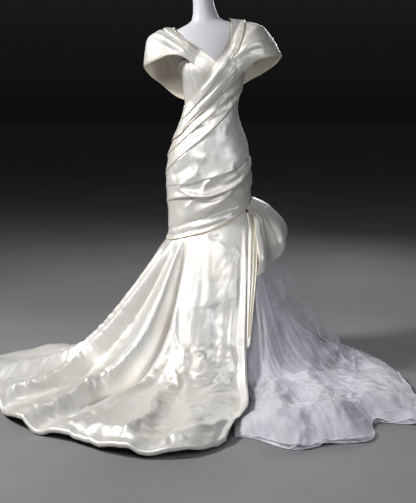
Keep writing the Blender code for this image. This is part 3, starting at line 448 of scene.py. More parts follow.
# Shares of a fold's width where its rise ends, its crest lies and its drop starts, and its depth as a
# multiple of the table's
CASCADE_RISE, CASCADE_CREST, CASCADE_DROP = 0.75, 0.78, 0.80
CASCADE_DEEP = 1.4
CASCADE_CORD_OUT = 0.0012
CASCADE_COLUMNS, CASCADE_ROWS = 97, 90

# Directions in which the creases of a crumple run
CREASE_WAYS = 6
# Crumples of the satin skirt, each in one kind of place
SKIRT_CRUMPLES = (
    # place, depth, creases a metre round and down, seed
    ("hanging", 0.0012, 9, 5, 13),
    ("crumpled", 0.0150, 7, 9, 17),
    ("crumpled", 0.0040, 20, 24, 37),
    ("lying", 0.0090, 6, 6, 19),
    ("hanging", 0.0012, 19, 16, 39),
)
# Crumpled places of the satin skirt
CRUMPLED = (
    # strength, angle, half width, place down the skirt, half height
    (1.00, 4, 12, 0.42, 0.09),
    (0.45, -2, 8, 0.80, 0.07),
    (0.25, 22, 12, 0.13, 0.06),
    (0.60, -63, 7, 0.40, 0.10),
    (0.40, -39, 6, 0.60, 0.08),
    (0.70, -14, 7, 0.90, 0.08),
    (0.40, 10, 9, 0.62, 0.08),
)
# Ridges that carry small cross creases, by their place in the table of fold lines, with the half width in
# degrees and the depth of these
CREASED_RIDGES = (6, 8, 10, 12, 14)
RIDGE_WIDTH, RIDGE_DEPTH = 2.0, 0.0060
# Routes of creases: points from one stop to the next, how far the relief reaches in metres for each
# millimetre of width, and how it fades towards the ends and the sides
ROUTE_POINTS = 6
ROUTE_REACH = 0.0025
ROUTE_END_FADE, ROUTE_SIDE_FADE = 0.7, 1.5
# Creases one by one: widths to the left and right and height in millimetres, then the angle and place down
# of each stop
SKIRT_CREASES = (
    (14, 16, 4, (9.9, 0.064), (16.5, 0.084), (21.7, 0.112)),
    (16, 18, 3, (28.0, 0.112), (31.6, 0.127), (35.1, 0.155)),
    (12, 7, -4, (0.5, 0.027), (8.5, 0.047), (17.7, 0.050)),
    (5, 14, 7, (-1.9, 0.313), (-7.1, 0.319), (-2.1, 0.340), (-5.9, 0.353)),
    (18, 8, 6, (-10.9, 0.371), (-4.4, 0.392), (1.4, 0.398), (8.2, 0.436), (13.1, 0.468)),
    (7, 16, 9, (21.4, 0.366), (16.3, 0.378), (17.4, 0.423), (19.1, 0.478)),
    (8, 16, -6, (-9.5, 0.436), (-4.3, 0.452), (2.1, 0.462), (9.4, 0.482), (17.4, 0.519)),
    (18, 9, 7, (-1.9, 0.494), (4.0, 0.491), (12.7, 0.455)),
    (14, 9, 6, (-6.4, 0.675), (-4.0, 0.665), (-1.2, 0.717)),
    (14, 10, -9, (-2.8, 0.888), (-1.2, 0.830), (1.2, 0.866)),
    (18, 20, 5, (-16.8, 0.299), (-13.9, 0.353), (-11.1, 0.439), (-7.1, 0.670)),
    (16, 6, 6, (-20.8, 0.365), (-17.2, 0.402), (-13.9, 0.455)),
    (8, 26, 13, (-20.8, 0.568), (-15.8, 0.781), (-16.8, 0.845), (-15.6, 0.970)),
    (10, 10, -8, (-9.0, 0.930), (-7.8, 0.970), (-7.3, 1.000)),
    (8, 14, 6, (-25.5, 0.202), (-22.7, 0.275), (-18.9, 0.319)),
    (12, 8, -7, (-69.8, 0.362), (-67.7, 0.322), (-51.2, 0.283)),
    (14, 8, -7, (-69.6, 0.428), (-58.7, 0.399), (-49.1, 0.345)),
    (14, 9, -6, (-49.1, 0.602), (-49.1, 0.521), (-47.7, 0.462)),
    (6, 16, 12, (-84.0, 0.560), (-69.0, 0.610), (-65.3, 0.660)),
    (16, 8, 7, (-66.3, 0.913), (-61.1, 0.847), (-63.9, 0.690)),
    (10, 16, -8, (-40.0, 0.930), (-37.0, 0.880), (-30.0, 0.860)),
    (14, 30, 18, (-22.9, 0.474), (-18.9, 0.598), (-15.8, 0.718), (-14.4, 0.868)),
    (12, 26, 22, (-17.5, 0.974), (-17.7, 0.930), (-17.0, 0.870), (-15.5, 0.800)),
    (16, 30, 20, (-26.7, 0.985), (-25.0, 0.943), (-21.5, 0.918), (-18.4, 0.945)),
    (9, 20, 16, (-9.2, 0.985), (-8.0, 0.955), (-6.0, 0.950), (-4.4, 0.985)),
    (30, 14, 18, (-7.3, 0.930), (-1.9, 0.925), (2.8, 0.920), (6.3, 0.890), (9.0, 0.830)),
    (34, 16, 20, (-30.9, 0.617), (-28.8, 0.765), (-28.6, 0.900), (-30.2, 0.975)),
    (30, 14, 18, (-45.1, 0.604), (-37.8, 0.775), (-37.5, 0.873), (-39.4, 0.950)),
    (10, 20, -7, (-8.1, 0.500), (-2.1, 0.540), (4.5, 0.556), (12.9, 0.520)),
    (45, 55, -12, (3.3, 0.225), (5.9, 0.282), (4.2, 0.340)),
    (26, 30, -8, (20.3, 0.240), (16.5, 0.298), (12.2, 0.355)),
)
# Folds of the collars: as above, with each stop's place along the collar's sections and across its band
COLLAR_CREASES = {
    "collar_left": (
        (12, 20, 6, (5.5, 0.42), (7.0, 0.55), (8.5, 0.80)),
        (14, 24, 7, (6.5, 0.38), (8.2, 0.50), (9.6, 0.72)),
        (10, 18, -5, (6.0, 0.62), (7.4, 0.78), (8.6, 0.95)),
        (6, 14, 4, (1.5, 0.55), (3.5, 0.62), (6.0, 0.70)),
        (6, 12, 4, (2.0, 0.76), (4.0, 0.83), (6.0, 0.90)),
        (7, 12, 4, (3.0, 0.14), (5.0, 0.20), (7.5, 0.16)),
        (12, 20, 6, (10.5, 0.40), (11.5, 0.60), (12.5, 0.85)),
    ),
    "collar_right": (
        (6, 14, 5, (1.5, 0.48), (3.0, 0.42), (5.0, 0.40), (6.8, 0.50)),
        (8, 16, 6, (2.5, 0.70), (4.0, 0.58), (5.5, 0.58), (6.8, 0.76)),
        (10, 12, 5, (3.6, 0.86), (5.0, 0.74), (6.2, 0.72), (7.2, 0.86)),
        (7, 12, 4, (2.0, 0.16), (4.0, 0.20), (6.5, 0.22)),
        (12, 20, 6, (8.0, 0.42), (9.0, 0.62), (10.0, 0.85)),
    ),
}
# Rolled edges of upper net layers: thickness in millimetres, then the angle and place down of each stop
NET_EDGES = (
    (0.9, (24, 0.45), (21, 0.56), (24, 0.70), (31, 0.82), (30, 0.97)),
    (0.9, (26, 0.44), (36, 0.60), (46, 0.68), (50, 0.80)),
    (0.8, (22, 0.60), (30, 0.66), (40, 0.78), (41, 0.95)),
    (0.8, (20, 0.72), (27, 0.78), (36, 0.90), (48, 0.97)),
    (0.9, (58, 0.50), (48, 0.62), (38, 0.74), (33, 0.90)),
    (0.8, (70, 0.48), (60, 0.62), (56, 0.78), (60, 0.96)),
    (0.8, (76, 0.44), (72, 0.60), (80, 0.75), (92, 0.90)),
    (0.6, (16, 0.80), (20, 0.86), (26, 0.84), (31, 0.90), (38, 0.88)),
    (0.6, (17, 0.90), (22, 0.93), (27, 0.89), (30, 0.94), (36, 0.95)),
    (0.6, (24, 0.86), (21, 0.90), (25, 0.96), (33, 0.93), (40, 0.97)),
    (0.6, (44, 0.84), (50, 0.88), (49, 0.94), (56, 0.97)),
    (0.6, (28, 0.76), (35, 0.80), (42, 0.79), (50, 0.86), (60, 0.84)),
    (0.6, (62, 0.72), (68, 0.80), (66, 0.88), (74, 0.94)),
    (0.6, (80, 0.66), (86, 0.76), (84, 0.86), (94, 0.92)),
)
# How far they wander, in degrees and as a share of the way down for each degree, and their points
NET_WANDER, NET_WANDER_DOWN = 1.6, 0.012
NET_EDGE_STOPS = 80
# How far above the net its free edges and rolled hems lie
NET_EDGE_LIFT, NET_HEM_LIFT = 0.0030, 0.0016
# Layers of net from the inside out: how far each lies inside the outermost one, the depth of its gathers,
# its seed and how fine its mesh is
NET_LAYERS = (
    # label, inset, gathers, seed, fineness
    ("under", 0.105, 0.004, 61, 0.6),
    ("middle", 0.045, 0.006, 67, 0.85),
    ("outer", 0.0, 0.006, 71, 1.0),
)
NET_PANELS = (
    # node, its two columns in the table of edges, columns, rows
    ("tulle_skirt", 2, 3, 180, 150),
    ("tulle_train", 3, 4, 130, 150),
)
# How far the net reaches under the satin, in degrees, and the inset up to which a layer thins out at the side
NET_TUCK = 5.0
NET_THIN = 0.1
# Puffs of the net on the floor as shares of its gathers: how deep the large and the small ones are
NET_PUFF, NET_SMALL_PUFF = 4.5, 0.9
# Creases of the drape: widths to the left and right and height in millimetres, then the angle and height
# of each stop
FRONT_CREASES = (
    (34, 7, 15, (72, 1.011), (60, 0.957), (44, 0.902), (25, 0.850), (8, 0.824), (-10, 0.818), (-30, 0.832)),
    (8, 14, 9, (-22, 0.826), (-34, 0.834), (-41, 0.846), (-37, 0.869), (-27, 0.878)),
    (8, 12, 9, (38, 0.937), (25, 0.922), (6, 0.899), (-6, 0.864)),
    (10, 26, 11, (50, 0.919), (37, 0.864), (23, 0.819), (14, 0.790), (0, 0.746), (-16, 0.718)),
    (9, 22, -9, (68, 0.791), (40, 0.761), (16, 0.741), (-10, 0.714), (-35, 0.692)),
    (16, 10, 8, (76, 0.762), (34, 0.728), (9, 0.705), (-25, 0.675)),
    (8, 14, 6, (-25, 0.990), (-10, 0.982), (0, 0.993)),
    (10, 6, 6, (-20, 0.952), (-16, 0.931), (-15, 0.907)),
    (10, 16, 6, (-36, 0.887), (-24, 0.896), (-13, 0.924)),
    (6, 12, 4, (-43, 1.109), (-24, 1.126), (0, 1.129)),
    (6, 12, 4, (-41, 1.065), (-20, 1.084), (-8, 1.101)),
    (10, 18, 8, (-10, 0.820), (-3, 0.869), (6, 0.890)),
    (12, 18, 8, (-35, 0.754), (-25, 0.780), (-17, 0.811)),
    (9, 18, 5, (60, 1.060), (30, 1.020), (5, 0.985)),
    (8, 16, 5, (66, 1.020), (40, 0.965), (15, 0.935)),
    (10, 18, -5, (72, 1.120), (45, 1.085), (20, 1.040)),
    (8, 14, 5, (-50, 0.960), (-38, 0.985), (-28, 1.020)),
    (10, 20, -6, (-60, 0.900), (-40, 0.925), (-22, 0.965)),
    (8, 16, 4, (55, 1.180), (40, 1.130), (22, 1.090)),
)
BACK_CREASES = (
    (24, 8, 6, (100, 1.000), (140, 0.900), (180, 0.850), (215, 0.830)),
    (10, 20, 5, (125, 0.930), (160, 0.820), (200, 0.760)),
    (10, 18, -5, (110, 0.800), (150, 0.770), (200, 0.710)),
    (14, 14, 4, (140, 1.050), (175, 1.000), (205, 0.930)),
)

# Camera, found from the photo: picture height and focal length in picture points, sensor in millimetres,
# place in metres, and its tilt in degrees
PHOTO_HEIGHT = 503
FOCAL_LENGTH = 800
SENSOR = 36
CAMERA_AWAY, CAMERA_HEIGHT, CAMERA_DOWN = 3.6, 1.2, 10.26
# Studio: the floor's radius and depth below the part, the tones of the air from low to high, and the lamps
FLOOR_REACH = 60
FLOOR_BELOW = 0.0008
AIR_LOW = (0.011, 0.011, 0.0115)
AIR_HIGH = (0.040, 0.041, 0.044)
AIR_SPAN = 0.4
LAMPS = (
    # name, place, target, diameter, power, colour
    ("key", (-3.1, -1.1, 3.3), (0, -0.1, 0.5), 0.7, 114, (1.0, 0.985, 0.965)),
    ("front", (-0.9, -3.5, 3.0), (-0.3, -0.4, 0.3), 1.2, 27, (1.0, 0.995, 0.985)),
    ("side", (2.3, -3.0, 1.8), (0.4, -0.2, 0.4), 0.8, 19, (0.95, 0.97, 1.0)),
    ("back", (1.2, 2.8, 2.4), (0, 0, 0.6), 1.4, 24, (1.0, 1.0, 1.0)),
)


def ease(table, column, at):
    """A column of a table as a smooth curve of its first column, flat beyond the ends."""
    stops, values = table[:, 0], table[:, column]
    at = np.clip(at, stops[0], stops[-1])
    slopes = np.gradient(values, stops)
    i = np.clip(np.searchsorted(stops, at, side="right") - 1, 0, len(stops) - 2)
    gap = stops[i + 1] - stops[i]
    t = (at - stops[i]) / gap
    rise = values[i + 1] - values[i]
    return (
        values[i]
        + rise * t * t * (3 - 2 * t)
        + gap * slopes[i] * t * (1 - t) ** 2
        - gap * slopes[i + 1] * t * t * (1 - t)
    )


def smooth(at, low, high):
    """0 below low, 1 above high, and an S between."""
    t = np.clip((at - low) / (high - low), 0, 1)
    return t * t * (3 - 2 * t)


def stops_table(stops):
    """A table of listed stops, numbered so that ease() can read between them."""
    return np.column_stack([np.arange(len(stops)), np.array(stops, float)])


def turn(angle):
    """The angle brought to between -180 and 180."""
    return (np.asarray(angle, float) + 180) % 360 - 180


def cup_swell(angle, height):
    """How far the bust stands out at an angle and height."""
    side = (np.abs(turn(angle)) - CUP_ANGLE) / CUP_WIDTH
    up = (height - CUP_HEIGHT) / CUP_REACH
    return CUP_SWELL * np.exp(-side * side - up * up)


def figure(angle, height, out=0.0):
    """A point on the figure at an angle and height, moved out by a distance."""
    angle, height, out = np.broadcast_arrays(angle, height, out)
    turned = np.radians(angle)
    depth = np.where(np.cos(turned) > 0, ease(FIGURE, 2, height), ease(FIGURE, 3, height))
    out = out + cup_swell(angle, height)
    x = ease(FIGURE, 4, height) + (ease(FIGURE, 1, height) + out) * np.sin(turned)
    y = -(depth + out) * np.cos(turned)
    return np.stack([x, y, height + shoulder_rise(x, height)], axis=-1)


def shoulder_rise(x, height):
    """The left shoulder stands a little higher than the right one."""
    rising, falling = smooth(height, SHOULDER_FROM, SHOULDER_TO), smooth(height, NECK_FROM, NECK_TO)
    return SHOULDER_TILT * x * rising * (1 - falling)


def figure_share(points):
    """1 on the figure's surface, less inside it and more outside."""
    x, y, z = np.moveaxis(points, -1, 0)
    height = z - shoulder_rise(x, z)
    across = x - ease(FIGURE, 4, height)
    half = ease(FIGURE, 1, height)
    depth = np.where(y < 0, ease(FIGURE, 2, height), ease(FIGURE, 3, height))
    swell = cup_swell(np.degrees(np.arctan2(across / half, -y / depth)), height)
    return np.hypot(across / (half + swell), y / (depth + swell))


def clear_of_figure(points, out):
    """Points that lie nearer to the figure than a distance, moved straight out to it."""
    small, longest, rounds = 0.0005, 0.03, 6
    for _ in range(rounds):
        share = figure_share(points)
        steps = np.eye(3) * small
        slope = np.stack([(figure_share(points + step) - share) / small for step in steps], axis=-1)
        steep = np.linalg.norm(slope, axis=-1)
        short = np.maximum(out - (share - 1) / steep, 0)
        points = points + slope / steep[..., None] * np.minimum(short, longest)[..., None]
    return points


def grid_normals(grid):
    """Unit normals of a grid of points, from its rows and columns."""
    normals = np.cross(np.gradient(grid, axis=0), np.gradient(grid, axis=1))
    return normals / np.linalg.norm(normals, axis=-1, keepdims=True)


def outward_normals(grid):
    """The normals of a grid that mostly point away from the figure."""
    normals = grid_normals(grid)
    from_axis = grid - grid.mean(axis=(0, 1)) * (0, 0, 1)
    return normals * np.sign(np.sum(normals * from_axis, axis=-1).mean())


# Folds, creases and noise


def noise(x, y, seed):
    """Smooth noise between about -1 and 1 over a plane, with features about one unit wide."""
    cells, gain = 64, 1.5
    turns = np.random.default_rng(seed).random((cells, cells)) * 2 * math.pi
    column, row = np.floor(x).astype(int), np.floor(y).astype(int)
    fx, fy = x - column, y - row
    u = fx * fx * fx * (fx * (fx * 6 - 15) + 10)
    v = fy * fy * fy * (fy * (fy * 6 - 15) + 10)
    total = 0.0
    for dx in (0, 1):
        for dy in (0, 1):
            spin = turns[(column + dx) % cells, (row + dy) % cells]
            weight = (u if dx else 1 - u) * (v if dy else 1 - v)
            total = total + weight * (np.cos(spin) * (fx - dx) + np.sin(spin) * (fy - dy))
    return total * gain


def crumple(x, y, seed):
    """Short straight creases that cross and fade in and out, as in pressed satin: about -1 to 1."""
    draw = np.random.default_rng(seed)
    total = 0.0
    for k in range(CREASE_WAYS):
        way = math.pi * (k + draw.random()) / CREASE_WAYS
        pitch = draw.uniform(0.8, 1.7)
        bent = 0.45 * noise(x * 0.8 + k, y * 0.8, seed + k)
        across = (x * math.cos(way) + y * math.sin(way)) * pitch + bent + draw.random()
        crest = 1 - 2 * np.abs((across % 1) * 2 - 1)
        fade = np.clip(0.35 + noise(x * 0.7, y * 0.7 + 5 * k, seed + 20 + k), 0, 1)
        total = total + (crest if k % 3 else -crest) * fade / pitch
    return total * 0.5


def line_levels(lines, down):
    """Angles and heights of fold lines at each row of a grid."""
    stops = np.array(LINE_STOPS)
    angles = np.stack([ease(np.column_stack([stops, line[1]]), 1, down) for line in lines])
    heights = np.stack([ease(np.column_stack([stops, line[2]]), 1, down) for line in lines])
    return angles, heights / 1000


def fold_height(lines, angle, down):
    """How far a skirt stands out between its fold lines: round ridges and round valleys. Each row of the
    grid lies at one place down the skirt."""
    centres, heights = line_levels(lines, down[:, 0])
    result = np.zeros(angle.shape)
    for row in range(len(angle)):
        order = np.argsort(centres[:, row])
        stops, levels = centres[order, row], heights[order, row]
        k = np.clip(np.searchsorted(stops, angle[row]) - 1, 0, len(stops) - 2)
        t = np.clip((angle[row] - stops[k]) / (stops[k + 1] - stops[k]), 0, 1)
        side = FOLD_STRAIGHT * t + (1 - FOLD_STRAIGHT) * t * t * (3 - 2 * t)
        result[row] = levels[k] + (levels[k + 1] - levels[k]) * side
    return result * smooth(down, 0.0, TOP_FLAT)


def satin_lines():
    """The named lines of the front, then the even flutes of the side and back."""
    lines = list(SATIN_LINES)
    spread = np.linspace(BACK_LINES_FROM, BACK_LINES_TO, BACK_FLUTES + 1)
    for k, angle in enumerate(spread):
        lines.append((f"flute {k}", (angle,) * len(LINE_STOPS), BACK_HEIGHTS[k % 2]))
    return lines


def route_relief(points, routes, place):
    """Soft troughs and ridges along listed routes. Each has its widths to the left and right of the
    route, seen from outside, and its height, in millimetres, then its stops. It fades at both ends."""
    relief = np.zeros(points.shape[:2])
    for left, right, height, *stops in routes:
        fine = np.linspace(0, len(stops) - 1, ROUTE_POINTS * (len(stops) - 1) + 1)
        table = stops_table(stops)
        way = place(ease(table, 1, fine), ease(table, 2, fine))
        reach = ROUTE_REACH * max(left, right)
        near = np.all((points > way.min(axis=0) - reach) & (points < way.max(axis=0) + reach), axis=-1)
        if not near.any():
            continue
        spots = points[near]
        outward = spots * (1, 1, 0) + (0, 0, 0.1)
        gap = np.full(len(spots), np.inf)
        along, side = np.zeros(len(spots)), np.zeros(len(spots))
        for k in range(len(way) - 1):
            step = way[k + 1] - way[k]
            t = np.clip((spots - way[k]) @ step / (step @ step), 0, 1)
            away = spots - way[k] - t[:, None] * step
            distance = np.linalg.norm(away, axis=-1)
            closer = distance < gap
            gap = np.where(closer, distance, gap)
            along = np.where(closer, (k + t) / (len(way) - 1), along)
            side = np.where(closer, np.sum(np.cross(step, away) * outward, axis=-1), side)
        across = gap / (np.where(side > 0, left, right) / 1000)
        fade = np.clip(4 * along * (1 - along), 0, 1) ** ROUTE_END_FADE
        relief[near] += height / 1000 * fade * np.exp(-(across**ROUTE_SIDE_FADE))
    return relief


# Meshes


def grid_faces(rows, columns, start=0, flip=False):
    """Four-cornered faces over a grid of points that are numbered row by row from a start."""
    row, column = np.mgrid[0 : rows - 1, 0 : columns - 1]
    a = (start + row * columns + column).ravel()
    faces = np.stack([a, a + 1, a + 1 + columns, a + columns], axis=1)
    return faces[:, ::-1] if flip else faces


def put_in_scene(name, data):
    made = bpy.data.objects.new(name, data)
    bpy.context.scene.collection.objects.link(made)
    return made


def make_mesh(name, points, faces, groups, materials):
    """A smooth-shaded object from arrays of points and four-cornered faces. groups give the material of
    each run of faces."""
    mesh = bpy.data.meshes.new(name)
    mesh.vertices.add(len(points))
    mesh.vertices.foreach_set("co", np.asarray(points, np.float32).ravel())
    mesh.loops.add(faces.size)
    mesh.loops.foreach_set("vertex_index", faces.ravel().astype(np.int32))
    mesh.polygons.add(len(faces))
    mesh.polygons.foreach_set("loop_start", np.arange(0, faces.size, 4, dtype=np.int32))
    mesh.polygons.foreach_set("material_index", np.asarray(groups, np.int32))
    mesh.update(calc_edges=True)
    mesh.validate()
    for finish in materials:
        mesh.materials.append(finish)
    mesh.shade_smooth()
    return put_in_scene(name, mesh)


def shell(name, middle, thick, finishes):
    """A thin closed cloth shell on a grid of points: outer face, inner face and rim."""
    normals = outward_normals(middle)
    outer, inner = middle + normals * thick / 2, middle - normals * thick / 2
    rows, columns = middle.shape[:2]
    count = rows * columns
    step = np.cross(middle[1, 1] - middle[0, 0], middle[0, 1] - middle[1, 0])
    flip = float(step @ normals[0, 0]) > 0
    faces = [grid_faces(rows, columns, 0, flip), grid_faces(rows, columns, count, not flip)]
    rim = [(0, j) for j in range(columns)]
    rim += [(i, columns - 1) for i in range(1, rows)]
    rim += [(rows - 1, j) for j in range(columns - 2, -1, -1)]
    rim += [(i, 0) for i in range(rows - 2, 0, -1)]
    ring = np.array([i * columns + j for i, j in rim])
    after = np.roll(ring, -1)
    band = np.stack([ring, after, after + count, ring + count], axis=1)
    faces.append(band if flip else band[:, ::-1])
    groups = np.concatenate([np.full(len(part), k % len(finishes)) for k, part in enumerate(faces)])
    points = np.concatenate([outer.reshape(-1, 3), inner.reshape(-1, 3)])
    return make_mesh(name, points, np.concatenate(faces), groups, finishes)


def single(name, points, finish):
    """One layer of net on a grid of points."""
    faces = grid_faces(*points.shape[:2])
    return make_mesh(name, points.reshape(-1, 3), faces, np.zeros(len(faces)), [finish])


def piping(name, route, radius, finish, sides=6):
    """A fine round cord sewn along a route of points, closed at both ends by its taper."""
    along = np.gradient(route, axis=0)
    along /= np.linalg.norm(along, axis=1, keepdims=True)
    side = np.cross(along, (0.0, 0.0, 1.0))
    side /= np.maximum(np.linalg.norm(side, axis=1, keepdims=True), 1e-9)
    up = np.cross(side, along)
    width = np.full(len(route), radius)
    width[0] = width[-1] = radius * 0.1
    spins = np.arange(sides + 1) * 2 * math.pi / sides
    ring = side[:, None] * np.cos(spins)[None, :, None] + up[:, None] * np.sin(spins)[None, :, None]
    points = route[:, None] + ring * width[:, None, None]
    return single(name, points, finish)


def ride(piece, slot, *nodes):
    """Rides a piece on the body, and hides the solids that it stands for. Its slot is not used."""
    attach(piece, "root")
    if nodes:
        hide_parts(*nodes)


def satin_panel(node, middle):
    """The cloth shell of a satin panel on a grid of points: satin outside, and inside a cream back made paler
    and warmer as painted light.
    """
    piece = shell("cloth_" + node, middle, SATIN_SHELL, (satin, back_painted_light, satin))
    ride(piece, "ivory_satin", node)


# A satin cord in a beige that is painted shade, laid along a pleat, fold, edge or hem
def lay_painted_shade_cord(name, route, radius):
    ride(piping("shade_piping_" + name, route, radius, shade_cord_paint), "ivory_satin")


def net_thread(name, route, radius):
    ride(piping(name, route, radius, net_hem, THREAD_SIDES), "white_tulle")


# Materials


def new_material(name, colour, roughness, inputs):
    """A material with its node tree and shader. inputs sets the shader's other sockets by their names."""
    made = bpy.data.materials.new(name)
    made.use_nodes = True
    tree = made.node_tree
    shader = tree.nodes["Principled BSDF"]
    shader.inputs["Base Color"].default_value = (*colour, 1)
    shader.inputs["Roughness"].default_value = roughness
    for key, value in inputs.items():
        shader.inputs[key].default_value = value
    return made, tree, shader


def textured(tree, kind, scale, tall=1.0, **settings):
    """A texture node read in object space, at a scale in features a metre, stretched tall times upwards."""
    place = tree.nodes.get("place") or tree.nodes.new("ShaderNodeTexCoord")
    place.name = "place"
    stretch = tree.nodes.new("ShaderNodeMapping")
    stretch.inputs["Scale"].default_value = (1, 1, 1 / tall)
    texture = tree.nodes.new(kind)
    texture.inputs["Scale"].default_value = scale
    for key, value in settings.items():
        if key in texture.inputs:
            texture.inputs[key].default_value = value
        else:
            setattr(texture, key, value)
    tree.links.new(place.outputs["Object"], stretch.inputs["Vector"])
    tree.links.new(stretch.outputs["Vector"], texture.inputs["Vector"])
    return texture


def mixed_colour(tree, texture, first, second, target):
    """Gives a socket two tones, mixed by a texture."""
    ramp = tree.nodes.new("ShaderNodeValToRGB")
    for stop, position, tone in zip(ramp.color_ramp.elements, (0.35, 0.65), (first, second)):
        stop.position = position
        stop.color = (*tone, 1)
    tree.links.new(texture.outputs[0], ramp.inputs[0])
    tree.links.new(ramp.outputs[0], target)


def bumped(tree, shader, *heights):
    """Bumps on each other, from textures with a strength and a depth in metres."""
    normal = None
    for texture, strength, distance in heights:
        bump_node = tree.nodes.new("ShaderNodeBump")
        bump_node.inputs["Strength"].default_value = strength
        bump_node.inputs["Distance"].default_value = distance
        tree.links.new(texture.outputs[0], bump_node.inputs["Height"])
        if normal is not None:
            tree.links.new(normal, bump_node.inputs["Normal"])
        normal = bump_node.outputs["Normal"]
    tree.links.new(normal, shader.inputs["Normal"])


def satin_material(name, light, warm, roughness, sheen, metal):
    """Heavy satin: a smooth float weave with a soft gloss, faint cloudy tone and fine creases."""
    made, tree, shader = new_material(name, light, roughness, {
        "Metallic": metal,
        "Specular IOR Level": 0.62,
        "Sheen Weight": sheen,
        "Sheen Roughness": 0.35,
        "Sheen Tint": (1.0, 0.97, 0.90, 1),
    })
    clouds = textured(tree, "ShaderNodeTexNoise", 5.0, Detail=3.0)
    mixed_colour(tree, clouds, warm, light, shader.inputs["Base Color"])
    drags = textured(tree, "ShaderNodeTexNoise", 22.0, 5.0, Detail=4.0, Distortion=0.5)
    slubs = textured(tree, "ShaderNodeTexNoise", 34.0, Detail=4.0, Distortion=0.8)
    ridged = {"Detail": 2.0, "Distortion": 0.5, "noise_type": "RIDGED_MULTIFRACTAL"}
    pressed = textured(tree, "ShaderNodeTexNoise", 11.0, **ridged)
    weave = textured(tree, "ShaderNodeTexWave", 420.0, Distortion=1.5, Detail=1.0)
    bumped(
        tree, shader,
        (drags, 0.25, 0.0035), (slubs, 0.20, 0.0020), (pressed, 0.30, 0.0030), (weave, 0.05, 0.0002),
    )
    return made


def net_material(name, colour, thinnest, closest):
    """Fine net: its cover follows the gathers stored on the mesh, from its thinnest to its closest."""
    made, tree, shader = new_material(name, colour, 0.80, {"Specular IOR Level": 0.2, "Sheen Weight": 0.3})
    gathers = tree.nodes.new("ShaderNodeAttribute")
    gathers.attribute_name = "cover"
    clouds = textured(tree, "ShaderNodeTexNoise", 7.0, Detail=4.0, Distortion=0.6)
    blend = tree.nodes.new("ShaderNodeMath")
    blend.operation = "MULTIPLY_ADD"
    tree.links.new(gathers.outputs["Fac"], blend.inputs[0])
    blend.inputs[1].default_value = 0.75
    tree.links.new(clouds.outputs[0], blend.inputs[2])
    cover = tree.nodes.new("ShaderNodeMapRange")
    span = {"From Min": 0.35, "From Max": 1.15, "To Min": thinnest, "To Max": closest}
    for key, value in span.items():
        cover.inputs[key].default_value = value
    tree.links.new(blend.outputs[0], cover.inputs["Value"])
    tree.links.new(cover.outputs[0], shader.inputs["Alpha"])
    bumped(tree, shader, (textured(tree, "ShaderNodeTexVoronoi", 520.0), 0.06, 0.0003))
    mixed_colour(tree, clouds, colour, [c * 0.95 for c in colour], shader.inputs["Base Color"])
    return made


def form_material():
    """Smooth pale paint with a faint shine."""
    coat = {"Coat Weight": 0.10, "Coat Roughness": 0.2}
    made, tree, shader = new_material("form_paint", (0.63, 0.63, 0.665), 0.45, coat)
    clouds = textured(tree, "ShaderNodeTexNoise", 3.0, Detail=2.0)
    mixed_colour(tree, clouds, (0.61, 0.61, 0.65), (0.65, 0.65, 0.685), shader.inputs["Base Color"])
    bumped(tree, shader, (textured(tree, "ShaderNodeTexNoise", 60.0, Detail=3.0), 0.06, 0.001))
    return made


def metal_material():
    """Brushed steel."""
    made, tree, shader = new_material("stand_steel", (0.60, 0.60, 0.62), 0.34, {"Metallic": 1.0})
    brush = textured(tree, "ShaderNodeTexNoise", 240.0, Detail=2.0)
    bumped(tree, shader, (brush, 0.08, 0.0005))
    mixed_colour(tree, brush, (0.54, 0.54, 0.56), (0.64, 0.64, 0.66), shader.inputs["Base Color"])
    return made


def floor_material():
    """A plain pale studio floor."""
    made, tree, shader = new_material("studio_floor", (0.30, 0.30, 0.31), 0.7, {})
    clouds = textured(tree, "ShaderNodeTexNoise", 1.2, Detail=3.0)
    mixed_colour(tree, clouds, (0.29, 0.29, 0.30), (0.32, 0.32, 0.33), shader.inputs["Base Color"])
    return made


satin = satin_material(
    "ivory_satin_face", (0.88, 0.875, 0.855), (0.82, 0.80, 0.75), roughness=0.43, sheen=0.08, metal=0.36
)
# The satin's back: its cream is paler and warmer than the face, as painted light on shaded insides
back_painted_light = satin_material(
    "ivory_satin_back_painted_light", (0.92, 0.88, 0.78), (0.88, 0.83, 0.72), roughness=0.50, sheen=0.05, metal=0.0
)
# Cords: partly the cream of turned edges, mostly painted shade along pleats, folds and edges
shade_cord_paint = satin_material(
    "ivory_piping_painted_shade", (0.80, 0.70, 0.52), (0.74, 0.63, 0.45), roughness=0.45, sheen=0.05, metal=0.0
)
net_finishes = {
    "under": net_material("tulle_under_layer", (0.82, 0.82, 0.87), thinnest=0.45, closest=1.0),
    "middle": net_material("tulle_middle_layer", (0.84, 0.84, 0.89), thinnest=0.04, closest=0.75),
    "outer": net_material("tulle_outer_layer", (0.88, 0.88, 0.93), thinnest=0.0, closest=0.55),
}
net_hem = net_material("tulle_rolled_hem", (0.88, 0.88, 0.92), thinnest=0.9, closest=1.0)
form_paint = form_material()
steel = metal_material()


# Dress form and stand


def lathe(name, rings, finish):
    """A closed solid through rings of points, from its lowest to its highest."""
    around = len(rings[0])
    faces = []
    for i in range(len(rings) - 1):
        for j in range(around):
            k = (j + 1) % around
            faces.append((i * around + j, i * around + k, (i + 1) * around + k, (i + 1) * around + j))
    faces.append(tuple(range(around - 1, -1, -1)))
    faces.append(tuple((len(rings) - 1) * around + j for j in range(around)))
    mesh = bpy.data.meshes.new(name)
    mesh.from_pydata(np.concatenate(rings).tolist(), [], faces)
    mesh.materials.append(finish)
    mesh.shade_smooth()
    mesh.set_sharp_from_angle(angle=math.radians(60))
    return put_in_scene(name, mesh)


